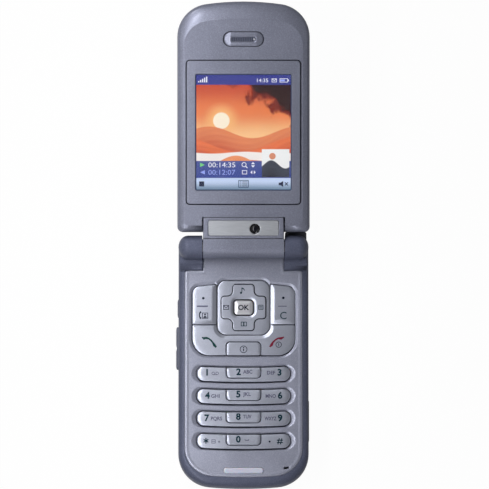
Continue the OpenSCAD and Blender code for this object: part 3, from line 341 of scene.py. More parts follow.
def displayImage(tree):
    spots = addNode(tree, "SeparateXYZ", {0: addNode(tree, "UVMap", uv_map="screen").outputs[0]}).outputs
    across, up = spots[0], spots[1]
    bars, sun, lake, cloud, inset = [picture[part] for part in ("bars", "sun", "lake", "cloud", "inset")]

    def cover(under, share, colour):
        return mixColour(tree, share, under, toLinear(colour))

    def spot(place, radius, soft):
        dx = calc(tree, "SUBTRACT", across, place[0])
        dy = times(tree, calc(tree, "SUBTRACT", up, place[1]), 1.21)
        distance = calc(tree, "SQRT", calc(tree, "ADD", times(tree, dx, dx), times(tree, dy, dy)))
        return ramp(tree, distance, radius + soft, radius - soft)

    def band(value, low, high, soft=0.002):
        return times(tree, ramp(tree, value, low - soft, low + soft), ramp(tree, value, high + soft, high - soft))

    def below(level):
        return ramp(tree, up, level + 0.002, level - 0.002)

    def ridge(under, colour, shade, **form):
        inputs = {"Under": under, "Across": across, "Up": up, "Colour": toLinear(colour), "Shade": toLinear(shade)}
        inputs.update({label.title(): value for label, value in form.items()})
        return addNode(tree, "Group", inputs, node_tree=ridgeNodes).outputs[0]

    low, middle, high = picture["sky"]
    image = cover(toLinear(low), ramp(tree, up, 0.45, 0.68), middle)
    image = cover(image, ramp(tree, up, 0.66, 0.92), high)
    image = cover(image, spot(sun["place"], sun["radius"] * 1.6, sun["radius"]), sun["halo"])
    image = cover(image, spot(sun["place"], sun["radius"], 0.006), sun["colour"])
    billows = noise(tree, 6.0, 5.0, addNode(tree, "CombineXYZ", {0: across, 1: up}).outputs[0])
    cloudy = calc(tree, "ADD", calc(tree, "ADD", times(tree, across, 0.9), times(tree, up, 1.5)), times(tree, billows, 0.9))
    image = cover(image, ramp(tree, cloudy, 2.16, 2.26), cloud["edge"])
    image = cover(image, ramp(tree, cloudy, 2.24, 2.36), cloud["colour"])
    far, near, nearest = picture["ridges"]
    image = ridge(ridge(image, **far), **near)
    shore = calc(tree, "MULTIPLY_ADD", calc(tree, "SINE", times(tree, across, 9.0)), 0.008, up)
    image = cover(image, band(shore, lake["low"], lake["high"], 0.004), lake["colour"])
    image = ridge(image, **nearest)
    info = [toLinear(colour) for colour in bars["infoColours"]]
    infoBar = mixColour(tree, ramp(tree, up, bars["softKeys"], bars["info"]), *info)
    image = mixColour(tree, below(bars["info"]), image, infoBar)
    inside = times(tree, band(across, inset["left"], inset["right"]), band(up, inset["low"], inset["high"]))
    hill = ridge(toLinear(inset["sky"]), **inset["hill"])
    image = mixColour(tree, inside, image, cover(hill, spot((0.80, 0.295), 0.034, 0.003), inset["moon"]))
    keyBar = mixColour(tree, ramp(tree, up, 0.0, 0.09), *[toLinear(colour) for colour in bars["keyColours"]])
    image = mixColour(tree, below(bars["softKeys"]), image, keyBar)
    image = cover(image, ramp(tree, up, bars["status"] - 0.002, bars["status"] + 0.002), bars["statusColour"])
    shown = times(tree, band(across, 0.011, 0.989), band(up, 0.009, 0.991))
    return mixColour(tree, shown, toLinear(picture["border"]), image)


ridgeNodes = ridgeGroup()
paints["displayPicture"] = makeLit("displayPicture", displayImage)


def paintOf(slot):
    # a slot's finish has its name, written together; the panels behind the windows are black when off
    first, *others = ("plastic_black" if slot == "display_panel" else slot).split("_")
    return first + "".join(word.title() for word in others)


nodeSlots = {part["node"]: part["material_slot"] for part in record["subparts"]}
bodyOf = {node: body for body, members in record["behaviour"]["bodies"].items() for node in members}
for name, node in cadNodes.items():
    for slot in node.material_slots:
        slot.material = paints[paintOf(nodeSlots[name])]
print("model nodes finished:", len(cadNodes))


# ---- mesh helpers, all in millimetres

def grown(corners, by):
    # the corner list moved outwards, with its radii; corners run anticlockwise
    result = []
    for index, (x, y, radius) in enumerate(corners):
        here = Vector((x, y))
        before = (here - Vector(corners[index - 1][:2])).normalized()
        after = (Vector(corners[(index + 1) % len(corners)][:2]) - here).normalized()
        outward = Vector((before.y, -before.x)) + Vector((after.y, -after.x))
        moved = here + outward * by / (1 + outward.dot(Vector((after.y, -after.x))) - 1)
        turn = 1 if before.cross(after) > 0 else -1
        result.append((moved.x, moved.y, max(radius + turn * by, 0.05)))
    return result


def boxCorners(width, length, x=0, y=0, radius=0.5):
    radii = radius if isinstance(radius, (list, tuple)) else [radius] * 4
    sides = ((1, -1), (1, 1), (-1, 1), (-1, -1))
    return [(x + across * width / 2, y + up * length / 2, r) for (across, up), r in zip(sides, radii)]


def outlineFace(bm, corners, z, segments=7):
    spots = [Vector((x, y, 0)) for x, y, r in corners]
    verts = [bm.verts.new((x, y, z)) for x, y, r in corners]
    face = bm.faces.new(verts)
    for index, vert in enumerate(verts):
        radius = corners[index][2]
        if radius <= 0:
            continue
        back = (spots[index - 1] - spots[index]).normalized()
        ahead = (spots[(index + 1) % len(spots)] - spots[index]).normalized()
        half = back.angle(ahead) / 2
        bmesh.ops.bevel(bm, geom=[vert], offset=radius / math.tan(half), offset_type="OFFSET", segments=segments,
                        profile=0.5, affect="VERTICES", clamp_overlap=False, material=-1)
    bm.faces.ensure_lookup_table()
    return bm.faces[-1]


def pullUp(bm, face, height):
    pulled = bmesh.ops.extrude_face_region(bm, geom=[face])["geom"]
    bmesh.ops.translate(bm, vec=(0, 0, height), verts=[g for g in pulled if isinstance(g, bmesh.types.BMVert)])
    bm.normal_update()
    return [g for g in pulled if isinstance(g, bmesh.types.BMFace)][0]


def stepIn(bm, face, steps):
    # successive rings: how far in, how far up
    for inward, up in steps:
        face.normal_update()
        bmesh.ops.inset_individual(bm, faces=[face], thickness=inward, depth=up, use_even_offset=True)


def dome(bm, face, steps):
    # a gently crowned top: each ring shrinks towards the middle by the same distance on every side
    for inward, up in steps:
        low = Vector([min(v.co[axis] for v in face.verts) for axis in range(3)])
        high = Vector([max(v.co[axis] for v in face.verts) for axis in range(3)])
        middle, size = (low + high) / 2, high - low
        stepIn(bm, face, [(0.01, up)])
        factors = [1 - 2 * inward / size.x, 1 - 2 * inward / size.y, 1]
        bmesh.ops.scale(bm, vec=factors, verts=list(face.verts), space=Matrix.Translation(-middle))


def roundSteps(radius, count=4):
    turns = [math.pi / 2 * k / count for k in range(count + 1)]
    spots = [(radius * (1 - math.cos(turn)), radius * math.sin(turn)) for turn in turns]
    return [(b[0] - a[0], b[1] - a[1]) for a, b in zip(spots, spots[1:])]


def faceOut(bm):
    bmesh.ops.recalc_face_normals(bm, faces=bm.faces)
    return bm


def solidCap(corners, low, top, edge, crown=(), segments=7):
    # a solid with straight walls, a rounded upper edge and a crowned top
    bm = bmesh.new()
    rise = sum(up for inward, up in crown)
    face = pullUp(bm, outlineFace(bm, corners, low, segments), top - rise - edge - low)
    stepIn(bm, face, roundSteps(edge))
    dome(bm, face, crown)
    return faceOut(bm)


def flaredCutter(corners, low, steps, segments=7):
    # a cutter that widens upwards: steps of (how far out, how far up)
    bm = bmesh.new()
    face = pullUp(bm, outlineFace(bm, corners, low, segments), steps[0][1])
    stepIn(bm, face, [(-outward, up) for outward, up in steps[1:]])
    return faceOut(bm)


def toObject(bm, name, place=basePlace, *materials):
    mesh = bpy.data.meshes.new(name)
    bm.to_mesh(mesh)
    bm.free()
    mesh.transform(place)
    piece = bpy.data.objects.new(name, mesh)
    bpy.context.scene.collection.objects.link(piece)
    for material in materials:
        mesh.materials.append(paints[material])
    return piece


def applyModifiers(piece):
    bpy.context.view_layer.update()
    shown = piece.evaluated_get(bpy.context.evaluated_depsgraph_get())
    old = piece.data
    mesh = bpy.data.meshes.new_from_object(shown)
    piece.modifiers.clear()
    piece.data = mesh
    bpy.data.meshes.remove(old)


def cutAway(piece, *cutters, operation="DIFFERENCE"):
    for cutter in cutters:
        tool = toObject(cutter, "tool") if isinstance(cutter, bmesh.types.BMesh) else cutter
        bite = piece.modifiers.new("bite", "BOOLEAN")
        bite.operation, bite.solver, bite.object = operation, "EXACT", tool
        applyModifiers(piece)
        bpy.data.objects.remove(tool)
    return piece


def darken(piece, chosen, paint="grooveDark"):
    # the deep walls beside a gap get a dark paint: painted shade that stands for the shade down in the gap
    piece.data.materials.append(paints[paint])
    for face in piece.data.polygons:
        if chosen(face):
            face.material_index = len(piece.data.materials) - 1
    return piece


def steep(face, limit=0.5):
    return abs(face.normal.z) < limit


def smooth(piece, angle=32, edge=None):
    mesh = piece.data
    mesh.shade_smooth()
    mesh.set_sharp_from_angle(angle=math.radians(angle))
    if edge:
        soften = piece.modifiers.new("softEdge", "BEVEL")
        soften.width, soften.segments, soften.limit_method = edge * 0.001, 2, "ANGLE"
        soften.angle_limit, soften.harden_normals = math.radians(35), False
        soften.use_clamp_overlap = True
    weight = piece.modifiers.new("evenNormals", "WEIGHTED_NORMAL")
    weight.keep_sharp = True


def settle(piece, body, replaced=(), angle=32, edge=None):
    # from millimetres to metres, then smooth and ride
    piece.data.transform(toMetres)
    smooth(piece, angle, edge)
    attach(piece, body)
    if replaced:
        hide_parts(*replaced)
    return piece


def nodeCopy(node):
    # a model node's mesh in millimetres, its doubles merged
    bm = bmesh.new()
    bm.from_mesh(cadNodes[node].data)
    bmesh.ops.scale(bm, vec=(1000, 1000, 1000), verts=bm.verts)
    bmesh.ops.remove_doubles(bm, verts=bm.verts, dist=0.002)
    return bm


def shellCopy(node, name, angle, edge=None, cutters=(), fillers=(), chosen=None):
    # a model node as one clean surface: recesses cut, flat stretches joined
    piece = toObject(nodeCopy(node), name, basePlace, paintOf(nodeSlots[node]))
    cutAway(piece, *fillers, operation="UNION")
    cutAway(piece, *cutters)
    bm = bmesh.new()
    bm.from_mesh(piece.data)
    bmesh.ops.dissolve_limit(bm, angle_limit=math.radians(0.4), verts=bm.verts, edges=bm.edges)
    bm.to_mesh(piece.data)
    bm.free()
    if chosen:
        darken(piece, chosen)
    return settle(piece, bodyOf[node], [node], angle, edge)


# ---- keypad

keypad = {"underside": 12.6, "top": 14.75, "coverTop": 14.5, "gap": 0.25, "edge": 0.42,
          "crown": [(0.5, 0.07), (0.8, 0.05), (0.9, 0.02)],
          "wellSlope": [(0.35, 0.12), (0.25, 0.14), (0.20, 0.14), (0.25, 0.10), (0.5, 0.15)],
          "padSlope": [(0.45, 0.14), (0.45, 0.15), (0.45, 0.15), (0.6, 0.16)]}
pad = {"width": 20, "length": 21.1, "middle": -22.3, "radius": 3.5, "edge": 0.5, "armWide": 4.1, "armTall": 4.4,
       "crown": [(0.8, 0.05), (1.2, 0.04), (1.4, 0.02)], "reachX": 8.5, "reachY": 9.0, "armRadius": 1.3,
       "innerRadius": 2.0, "groove": 0.4, "grooveDepth": 0.6}
micSlot = {"place": (16.15, -84.0), "width": 2.0, "length": 0.8, "turn": 12}
okButton = {"width": 7.6, "length": 6.0, "radius": 1.5, "top": 14.8, "edge": 0.6, "crown": [(0.5, 0.12), (0.6, 0.06)],
            "shrink": 0.18}
softCrown = [(0.6, 0.05), (0.8, 0.02)]
keyGroup = {"half": 19.4, "softTop": -13.35, "softEnd": -28.85, "callTop": -29.1, "callEnd": -40.8, "slant": 0.9,
            "inner": 10.25}
info = {"width": 12.9, "length": 5.1}
rows = {"first": -47.7, "pitch": 8.6, "width": 35.4, "length": 5.6, "sag": 0.55, "midWidth": 12.9, "midLength": 4.0,
        "midSlope": 0.45, "wellSwing": [0.14, 0.2, 0.26, 0.24, 0.2, 0.3],
        "names": ["row_one_keys", "row_two_keys", "row_three_keys", "row_four_keys"],
        "mids": ["key_two", "key_five", "key_eight", "key_zero"]}


def padCorners(by=0):
    return grown(boxCorners(pad["width"], pad["length"], 0, pad["middle"], pad["radius"]), by)


def softCorners(side, by=0):
    inner, outer = keyGroup["inner"], keyGroup["half"]
    spots = [(inner, keyGroup["softEnd"], 0.5), (outer, keyGroup["softEnd"], 0.5),
             (outer, keyGroup["softTop"] - keyGroup["slant"], 3.0), (inner, keyGroup["softTop"], 0.6)]
    if side < 0:
        spots = [(-x, y, r) for x, y, r in reversed(spots)]
    return grown(spots, by)


def callCorners(by=0):
    length = keyGroup["callTop"] - keyGroup["callEnd"]
    middle = (keyGroup["callTop"] + keyGroup["callEnd"]) / 2
    return grown(boxCorners(2 * keyGroup["half"], length, 0, middle, [6.4, 0.5, 0.5, 6.4]), by)


def infoCorners(by=0, tail=0):
    middle = keyGroup["callEnd"] + info["length"] / 2 - tail / 2
    return grown(boxCorners(info["width"], info["length"] + tail, 0, middle, [0.5, 1.4, 1.4, 0.5]), by)


def rowMiddle(index):
    return rows["first"] - index * rows["pitch"]


def midCorners(index, by=0, head=0):
    # centre key of a row; head runs the notch on past the row's upper edge
    top = rowMiddle(index) + rows["length"] / 2 - rows["sag"] + head
    length = rows["midLength"] + head
    return grown(boxCorners(rows["midWidth"], length, 0, top - length / 2, [1.4, 0.5, 0.5, 1.4]), by)


def bendRow(bm):
    # long bars sag in the middle
    for vert in bm.verts:
        vert.co.y -= rows["sag"] * (1 - min(1, (vert.co.x / (rows["width"] / 2)) ** 2))


def rowBar(index, low, height, steps, by=0.0, shifts=None, crown=()):
    # a round-ended bar with enough points along it to bend; shifts move its ends out ring by ring
    bm = bmesh.new()
    straight = rows["width"] / 2 - rows["length"] / 2
    first, second, third, fourth = boxCorners(rows["width"] + 2 * by, rows["length"] + 2 * by, 0, rowMiddle(index),
                                              rows["length"] / 2 + by - 0.15)
    along = [straight * (1 - k / 7) * 0.95 for k in range(15)]
    corners = [first, second] + [(x, second[1], 0) for x in along] + [third, fourth] + [(-x, first[1], 0) for x in along]
    face = pullUp(bm, outlineFace(bm, corners, low, 8), height)
    for ring, (outward, up) in enumerate(steps):
        stepIn(bm, face, [(outward, up)])
        if shifts:
            for side in (1, -1):
                ends = [v for v in face.verts if v.co.x * side > straight - 0.3]
                bmesh.ops.translate(bm, vec=(side * shifts[ring], 0, 0), verts=ends)
    dome(bm, face, crown)
    bendRow(bm)
    return faceOut(bm)


def makeKey(name, bm, replaced, slot="key_silver", cutters=()):
    key = toObject(bm, name, basePlace, paintOf(slot))
    # the key's steep sides get painted shade, standing for the dark gap around it
    darken(cutAway(key, *cutters), steep)
    return settle(key, replaced, [replaced])


under, top, gap = keypad["underside"], keypad["top"], keypad["gap"]
slopeDepth = sum(up for outward, up in keypad["padSlope"][:-1])


def padSlopeCutter():
    start = top - slopeDepth - under + 1
    return flaredCutter(padCorners(gap), under - 1, [(0, start)] + keypad["padSlope"])


keys = {}
cutterFoot = under - 1
for side, name, keyName in ((-1, "left_soft_key", "softKeyLeft"), (1, "right_soft_key", "softKeyRight")):
    cap = solidCap(softCorners(side), under, top, keypad["edge"], softCrown)
    keys[name] = makeKey(keyName, cap, name, cutters=[padSlopeCutter()])
notch = flaredCutter(infoCorners(gap, 3), cutterFoot, [(0, top - 0.2 - under + 1), (0.08, 0.1), (0.12, 0.1), (0.2, 0.1)])
callCap = solidCap(callCorners(), under, top, keypad["edge"], softCrown)
keys["call_end_key"] = makeKey("callEndKey", callCap, "call_end_key", cutters=[padSlopeCutter(), notch])
infoCap = solidCap(infoCorners(), under, top, 0.35, [(0.4, 0.04), (0.5, 0.02)])
keys["info_key"] = makeKey("infoKey", infoCap, "info_key")
for index, (rowName, midName) in enumerate(zip(rows["names"], rows["mids"])):
    bar = rowBar(index, under, top - 0.14 - 0.6 - under, roundSteps(0.6), crown=[(0.6, 0.09), (0.7, 0.05)])
    notchSteps = [(0, top - 0.25 - under + 1), (0.08, 0.12), (0.14, 0.12), (0.3, 0.2)]
    notch = flaredCutter(midCorners(index, gap, 2), cutterFoot, notchSteps)
    keys[rowName] = makeKey("rowBar" + str(index + 1), bar, rowName, cutters=[notch])
    mid = solidCap(midCorners(index), under, top, 0.4, [(0.4, 0.05), (0.5, 0.02)])
    lowEdge = min(v.co.y for v in mid.verts)
    for vert in mid.verts:
        if vert.co.z > top - 0.45 and vert.co.y < lowEdge + 1.3:
            vert.co.y += rows["midSlope"] * (vert.co.z - top + 0.45) / 0.45
    keys[midName] = makeKey("midKey" + str(index + 1), mid, midName)
print("keys made:", len(keys))


def crossCorners(by=0):
    wide, tall, reachX, reachY, radius = [pad[k] for k in ("armWide", "armTall", "reachX", "reachY", "armRadius")]
    arms = [(reachX, -tall), (reachX, tall), (wide, tall), (wide, reachY), (-wide, reachY), (-wide, tall)]
    spots = arms + [(-x, -y) for x, y in arms]
    inner = {(side * wide, end * tall) for side in (1, -1) for end in (1, -1)}
    return grown([(x, y + pad["middle"], pad["innerRadius"] if (x, y) in inner else radius) for x, y in spots], by)


padTop = keypad["coverTop"] + 0.12


def okCorners(by):
    return grown(boxCorners(okButton["width"], okButton["length"], 0, pad["middle"], okButton["radius"]), by)


def okCutter():
    steps = [(0, padTop - 0.32 - under + 1), (0.3, 0.12), (0.35, 0.1), (0.35, 0.1), (0.4, 0.2)]
    return flaredCutter(okCorners(gap), under - 1, steps)


# walls and floor of the cross groove, which get painted shade
def padGroove(face):
    return steep(face) or 13 < face.center.z < padTop - 0.35


grooveFoot, grooveHalf = padTop - pad["grooveDepth"], pad["groove"] / 2
padBody = toObject(solidCap(padCorners(), under, padTop, pad["edge"], pad["crown"]), "padFrame", basePlace, "keySilver")
grooveSteps = [(0, pad["grooveDepth"] - 0.04), (0.04, 0.05), (0.2, 0.2)]
cutAway(padBody, flaredCutter(crossCorners(grooveHalf), grooveFoot, grooveSteps), okCutter())
darken(padBody, padGroove)
keys["nav_pad"] = settle(padBody, "nav_pad", ["nav_pad"])
cross = solidCap(crossCorners(-grooveHalf), grooveFoot - 0.02, padTop, 0.08, [(0.3, 0.04)])
# the cross's steep sides get painted shade
crossPiece = darken(cutAway(toObject(cross, "padCross", basePlace, "keySilver"), okCutter()), steep)
keys["padCross"] = settle(crossPiece, "nav_pad")
okCap = solidCap(okCorners(-okButton["shrink"]), under, okButton["top"], okButton["edge"], okButton["crown"])
keys["ok_key"] = makeKey("okButton", okCap, "ok_key", "ok_silver")
print("direction pad made")


# ---- printed marks: each shape is an ink and its flat polygons

def stroke(ink, points, widths):
    # a line of changing width
    left, right = [], []
    for index, point in enumerate(points):
        ahead = Vector(points[min(index + 1, len(points) - 1)]) - Vector(points[max(index - 1, 0)])
        width = widths[index] if isinstance(widths, (list, tuple)) else widths
        aside = Vector((-ahead.y, ahead.x)).normalized() * width / 2
        left.append(tuple(Vector(point) + aside))
        right.append(tuple(Vector(point) - aside))
    return ink, [left[::-1] + right]


def shape(ink, points):
    return ink, [points]


def circle(x, y, radius, count=28):
    turns = [2 * math.pi * k / count for k in range(count)]
    return [(x + radius * math.cos(turn), y + radius * math.sin(turn)) for turn in turns]


def rectangle(x, y, width, height):
    return [(x + across * width / 2, y + up * height / 2) for across, up in ((-1, -1), (1, -1), (1, 1), (-1, 1))]


def hollow(ink, outer, inner):
    count = len(outer)
    return ink, [[outer[k], outer[(k + 1) % count], inner[(k + 1) % count], inner[k]] for k in range(count)]


def ring(ink, x, y, radius, line):
    return hollow(ink, circle(x, y, radius), circle(x, y, radius - line))


def border(ink, x, y, width, height, line):
    return hollow(ink, rectangle(x, y, width, height), rectangle(x, y, width - 2 * line, height - 2 * line))


def disc(ink, x, y, radius):
    return shape(ink, circle(x, y, radius, 20))


def box(ink, x, y, width, height):
    return shape(ink, rectangle(x, y, width, height))


def letterMesh(words, weight):
    curve = bpy.data.curves.new("letters", "FONT")
    curve.body, curve.offset, curve.resolution_u = words, weight, 3
    holder = bpy.data.objects.new("letters", curve)
    bpy.context.scene.collection.objects.link(holder)
    bpy.context.view_layer.update()
    mesh = bpy.data.meshes.new_from_object(holder.evaluated_get(bpy.context.evaluated_depsgraph_get()))
    bpy.data.objects.remove(holder)
    bpy.data.curves.remove(curve)
    return mesh


def word(ink, words, x, y, cap, weight=0.02, width=None):
    # letters centred on x, capitals centred on y, optionally squeezed to a width
    mesh = letterMesh(words, weight)
    across = [v.co.x for v in mesh.vertices]
    scale = cap / capHeight
    squeeze = width / (max(across) - min(across)) if width else scale
    middle = (max(across) + min(across)) / 2
    spots = [(x + (v.co.x - middle) * squeeze, y + v.co.y * scale - cap / 2) for v in mesh.vertices]
    polygons = [[spots[v] for v in polygon.vertices] for polygon in mesh.polygons]
    bpy.data.meshes.remove(mesh)
    return ink, polygons


def layMarks(name, shapes, body, place=basePlace, under=None, level=0.0, sunk=0.03, proud=0.03):
    # thin closed solids; on keys every point drops onto the key's own surface
    used = sorted({ink for ink, polygons in shapes})
    bm = bmesh.new()
    for ink, polygons in shapes:
        for polygon in polygons:
            bm.faces.new([bm.verts.new((*spot, level)) for spot in polygon]).material_index = used.index(ink)
    bmesh.ops.remove_doubles(bm, verts=bm.verts, dist=0.001)
    if under:
        bmesh.ops.triangulate(bm, faces=bm.faces[:])
        for length in (1.2, 0.6):
            longEdges = [edge for edge in bm.edges if edge.calc_length() > length]
            bmesh.ops.subdivide_edges(bm, edges=longEdges, cuts=1, use_grid_fill=True)
    raised = bmesh.ops.extrude_face_region(bm, geom=bm.faces[:])["geom"]
    upper = {g for g in raised if isinstance(g, bmesh.types.BMVert)}
    if under:
        mesh = under.data
        surface = BVHTree.FromPolygons([v.co * 1000 for v in mesh.vertices], [list(f.vertices) for f in mesh.polygons])
        for vert in bm.verts:
            hit = surface.ray_cast(Vector((vert.co.x, vert.co.y, 40)), Vector((0, 0, -1)))[0]
            vert.co.z = hit.z
    for vert in bm.verts:
        vert.co.z += proud if vert in upper else -sunk
    faceOut(bm)
    return settle(toObject(bm, name, place, *used), body)


capital = letterMesh("H", 0)
capHeight = max(v.co.y for v in capital.vertices)
bpy.data.meshes.remove(capital)
teal, grey, dark, white, blue, navy, slate = ("printTeal", "printGrey", "printDark", "litWhite", "litBlue", "litNavy",
                                              "litGrey")
digits = {"cap": 2.35, "weight": 0.038}
letters = {"cap": 1.35, "weight": 0.02}


def digit(words, x, y):
    return word(teal, words, x, y, digits["cap"], digits["weight"])


def small(words, x, y, width):
    return word(grey, words, x, y, letters["cap"], letters["weight"], width)


def star(ink, x, y, reach, line, arms=6):
    turns = [math.pi / 2 + math.pi * 2 * k / arms for k in range(arms // 2)]
    spans = [(reach * math.cos(turn), reach * math.sin(turn)) for turn in turns]
    return [stroke(ink, [(x - dx, y - dy), (x + dx, y + dy)], line) for dx, dy in spans]


def hashSign(ink, x, y, size, line):
    bars = [box(ink, x, y + side * size * 0.19, size, line) for side in (-1, 1)]
    for side in (-1, 1):
        foot = (x - size * 0.12 + side * size * 0.21, y - size / 2)
        bars.append(stroke(ink, [foot, (x + size * 0.12 + side * size * 0.21, y + size / 2)], line))
    return bars


def signalBars(ink, x, y, pitch, width, growth):
    heights = [0.5 + growth * k for k in range(5)]
    return [box(ink, x + pitch * k, y + height / 2, width, height) for k, height in enumerate(heights)]


legends = {
    "left_soft_key": [
        disc(dark, -15.22, -18.75, 0.5), box(grey, -15.55, -21.85, 4.1, 0.5),
        stroke(dark, [(-16.1, -23.95), (-16.5, -24.5), (-16.68, -25.3), (-16.5, -26.1),
                      (-16.1, -26.65)], [0.75, 0.5, 0.42, 0.5, 0.75]),
        border(dark, -14.53, -25.5, 2.3, 2.3, 0.26), disc(dark, -14.53, -25.1, 0.36),
        shape(dark, [(-15.25, -26.3), (-13.8, -26.3), (-14.2, -25.65), (-14.85, -25.65)])],
    "right_soft_key": [
        disc(dark, 15.06, -18.62, 0.5), box(grey, 14.7, -21.85, 3.3, 0.28),
        word(teal, "C", 15.05, -25.45, 2.75, 0.004, 2.45)],
    "padCross": [
        disc(teal, -0.95, -16.65, 0.42), stroke(teal, [(-0.62, -16.6), (-0.62, -14.75)], 0.26),
        stroke(teal, [(-0.72, -14.75), (0.1, -15.15), (0.45, -15.75)], [0.5, 0.34, 0.2]),
        border(dark, -6.58, -22.29, 2.2, 1.8, 0.24),
        stroke(dark, [(-7.55, -21.6), (-6.58, -22.5), (-5.61, -21.6)], 0.24),
        border(teal, 6.57, -22.23, 1.9, 1.9, 0.24), box(teal, 6.57, -21.85, 1.1, 0.24),
        box(teal, 6.57, -22.5, 1.1, 0.24), border(teal, -0.42, -28.7, 1.15, 1.75, 0.26),
        border(teal, 0.66, -28.7, 1.15, 1.75, 0.26)],
    "ok_key": [
        word(dark, "OK", 0.05, -22.35, 1.85, 0.03, 4.2)],
    "call_end_key": [
        stroke("printGreen", [(-15.75, -33.85), (-14.95, -34.3), (-14.1, -34.1), (-13.1, -34.4), (-12.2, -35.1),
                              (-11.55, -36.0), (-11.0, -36.9), (-10.3, -37.75)],
               [0.3, 1.05, 0.85, 0.62, 0.6, 0.66, 1.05, 0.6]),
        stroke("printRed", [(9.9, -37.6), (10.6, -36.8), (11.15, -35.75), (12.05, -34.85), (13.1, -34.25),
                            (14.2, -34.3), (15.3, -33.75)], [0.5, 1.05, 0.7, 0.6, 0.66, 1.0, 0.4]),
        ring(dark, 13.28, -36.7, 1.15, 0.24), box(dark, 13.28, -36.65, 0.26, 1.0)],
    "info_key": [
        ring(dark, 0.02, -38.5, 1.42, 0.26), box(dark, 0.02, -38.75, 0.34, 0.95), disc(dark, 0.02, -37.85, 0.24)],
    "row_one_keys": [
        digit("1", -13.75, -47.34), ring(grey, -11.45, -47.75, 0.6, 0.2), ring(grey, -9.95, -47.75, 0.6, 0.2),
        box(grey, -10.7, -48.27, 1.5, 0.2), digit("3", 13.6, -47.34), small("DEF", 10.4, -47.5, 3.1)],
    "row_two_keys": [
        digit("4", -13.6, -56.25), small("GHI", -10.6, -56.5, 3.2), digit("6", 13.8, -56.25),
        small("MNO", 10.3, -56.5, 3.9)],
    "row_three_keys": [
        digit("7", -13.8, -64.9), small("PQRS", -10.2, -65.15, 4.2), digit("9", 13.8, -64.9),
        small("WXYZ", 10.2, -65.15, 4.5)],
    "row_four_keys": [
        *star(teal, -14.15, -73.72, 1.05, 0.42), border(grey, -11.3, -73.95, 1.5, 1.5, 0.2),
        box(grey, -11.3, -73.95, 1.1, 0.18), box(grey, -9.2, -74.1, 0.9, 0.22), box(grey, -9.2, -74.1, 0.22, 0.9),
        *hashSign(teal, 13.7, -73.9, 2.3, 0.36), disc(dark, 9.85, -74.0, 0.38)],
    "key_two": [
        digit("2", -1.85, -47.15), small("ABC", 1.6, -47.15, 3.5)],
    "key_five": [
        digit("5", -1.95, -55.75), small("JKL", 1.3, -55.75, 3.0)],
    "key_eight": [
        digit("8", -1.95, -64.4), small("TUV", 1.4, -64.4, 3.2)],
    "key_zero": [
        digit("0", -1.95, -73.1), stroke(grey, [(0.6, -73.1), (0.6, -73.5), (2.0, -73.5), (2.0, -73.1)], 0.28)],
}
for name, shapes in legends.items():
    layMarks(name + "_print", shapes, bodyOf.get(name, "nav_pad"), under=keys[name])
print("legends printed:", len(legends))


# ---- front cover and rear housing

def groupWell(corners):
    start = keypad["coverTop"] - sum(up for outward, up in keypad["wellSlope"][:-1]) - under + 1
    return flaredCutter(corners, under - 1, [(0, start)] + keypad["wellSlope"])


def rowWell(index):
    steps = [(-0.10, 0.16), (-0.12, 0.16), (-0.10, 0.14), (-0.10, 0.14), (-0.15, 0.1), (-0.2, 0.2)]
    return rowBar(index, under - 1, keypad["coverTop"] - 0.7 - under + 1, steps, gap + 0.03, rows["wellSwing"])


def rowFiller(index):
    # fills the straight-sided recess of the model so that the sloped one can be cut
    corners = boxCorners(rows["width"] + 4.4, rows["length"] + 2.6, 0, rowMiddle(index) - rows["sag"] / 2, 1.0)
    bm = bmesh.new()
    pullUp(bm, outlineFace(bm, corners, keypad["coverTop"] - 1.0), 0.998)
    return faceOut(bm)


def slotCorners(width, length, turn):
    # the microphone slot stands at a slight angle
    x, y = micSlot["place"]
    c, s = math.cos(math.radians(turn)), math.sin(math.radians(turn))
    return [(x + px * c - py * s, y + px * s + py * c, r) for px, py, r in boxCorners(width, length, 0, 0, 0.3)]


def slotCutter(by=0):
    corners = slotCorners(micSlot["width"] + 2 * by, micSlot["length"] + 2 * by, micSlot["turn"])
    return flaredCutter(corners, under - 0.3, [(0, 14.32 - under + 0.3), (0.06, 0.09), (0.10, 0.09), (0.2, 0.2)])


def slotFiller():
    bm = bmesh.new()
    pullUp(bm, outlineFace(bm, slotCorners(2.6, 1.5, -12), keypad["coverTop"] - 1.2), 1.196)
    return faceOut(bm)


# steep walls of the key wells, which get painted shade
def wellWall(face):
    x, y, z = face.center
    return abs(x) < 21 and -80 < y < -12 and z > 12.7 and steep(face)


wells = [groupWell(corners) for corners in (padCorners(gap), softCorners(-1, gap), softCorners(1, gap), callCorners(gap))]
wells += [rowWell(index) for index in range(4)] + [slotCutter()]
fillers = [rowFiller(index) for index in range(4)] + [slotFiller()]
shellCopy("front_cover", "frontCover", angle=38, cutters=wells, fillers=fillers, chosen=wellWall)
shellCopy("rear_housing", "rearHousing", angle=35)
shellCopy("battery_cover", "batteryCover", angle=35)
shellCopy("side_cover", "sideCover", angle=35, edge=0.12)
shellCopy("battery_latch", "batteryLatch", angle=35, edge=0.1)


def topOutline(node, level):
    # the outermost edge loop of a node's flat top, in order
    bm = nodeCopy(node)
    bm.normal_update()
    flat = {f for f in bm.faces if f.normal.z > 0.999 and abs(f.calc_center_median().z - level) < 0.02}
    rim = {e for e in bm.edges if len([f for f in e.link_faces if f in flat]) == 1}
    loops = []
    while rim:
        edge = rim.pop()
        chain = [edge.verts[0], edge.verts[1]]
        while True:
            ahead = [e for e in chain[-1].link_edges if e in rim]
            if not ahead:
                break
            rim.discard(ahead[0])
            chain.append(ahead[0].other_vert(chain[-1]))
        if chain[0] == chain[-1]:
            chain.pop()
        loops.append([Vector((v.co.x, v.co.y)) for v in chain])
    bm.free()
    return max(loops, key=lambda loop: max(p.x for p in loop) - min(p.x for p in loop))


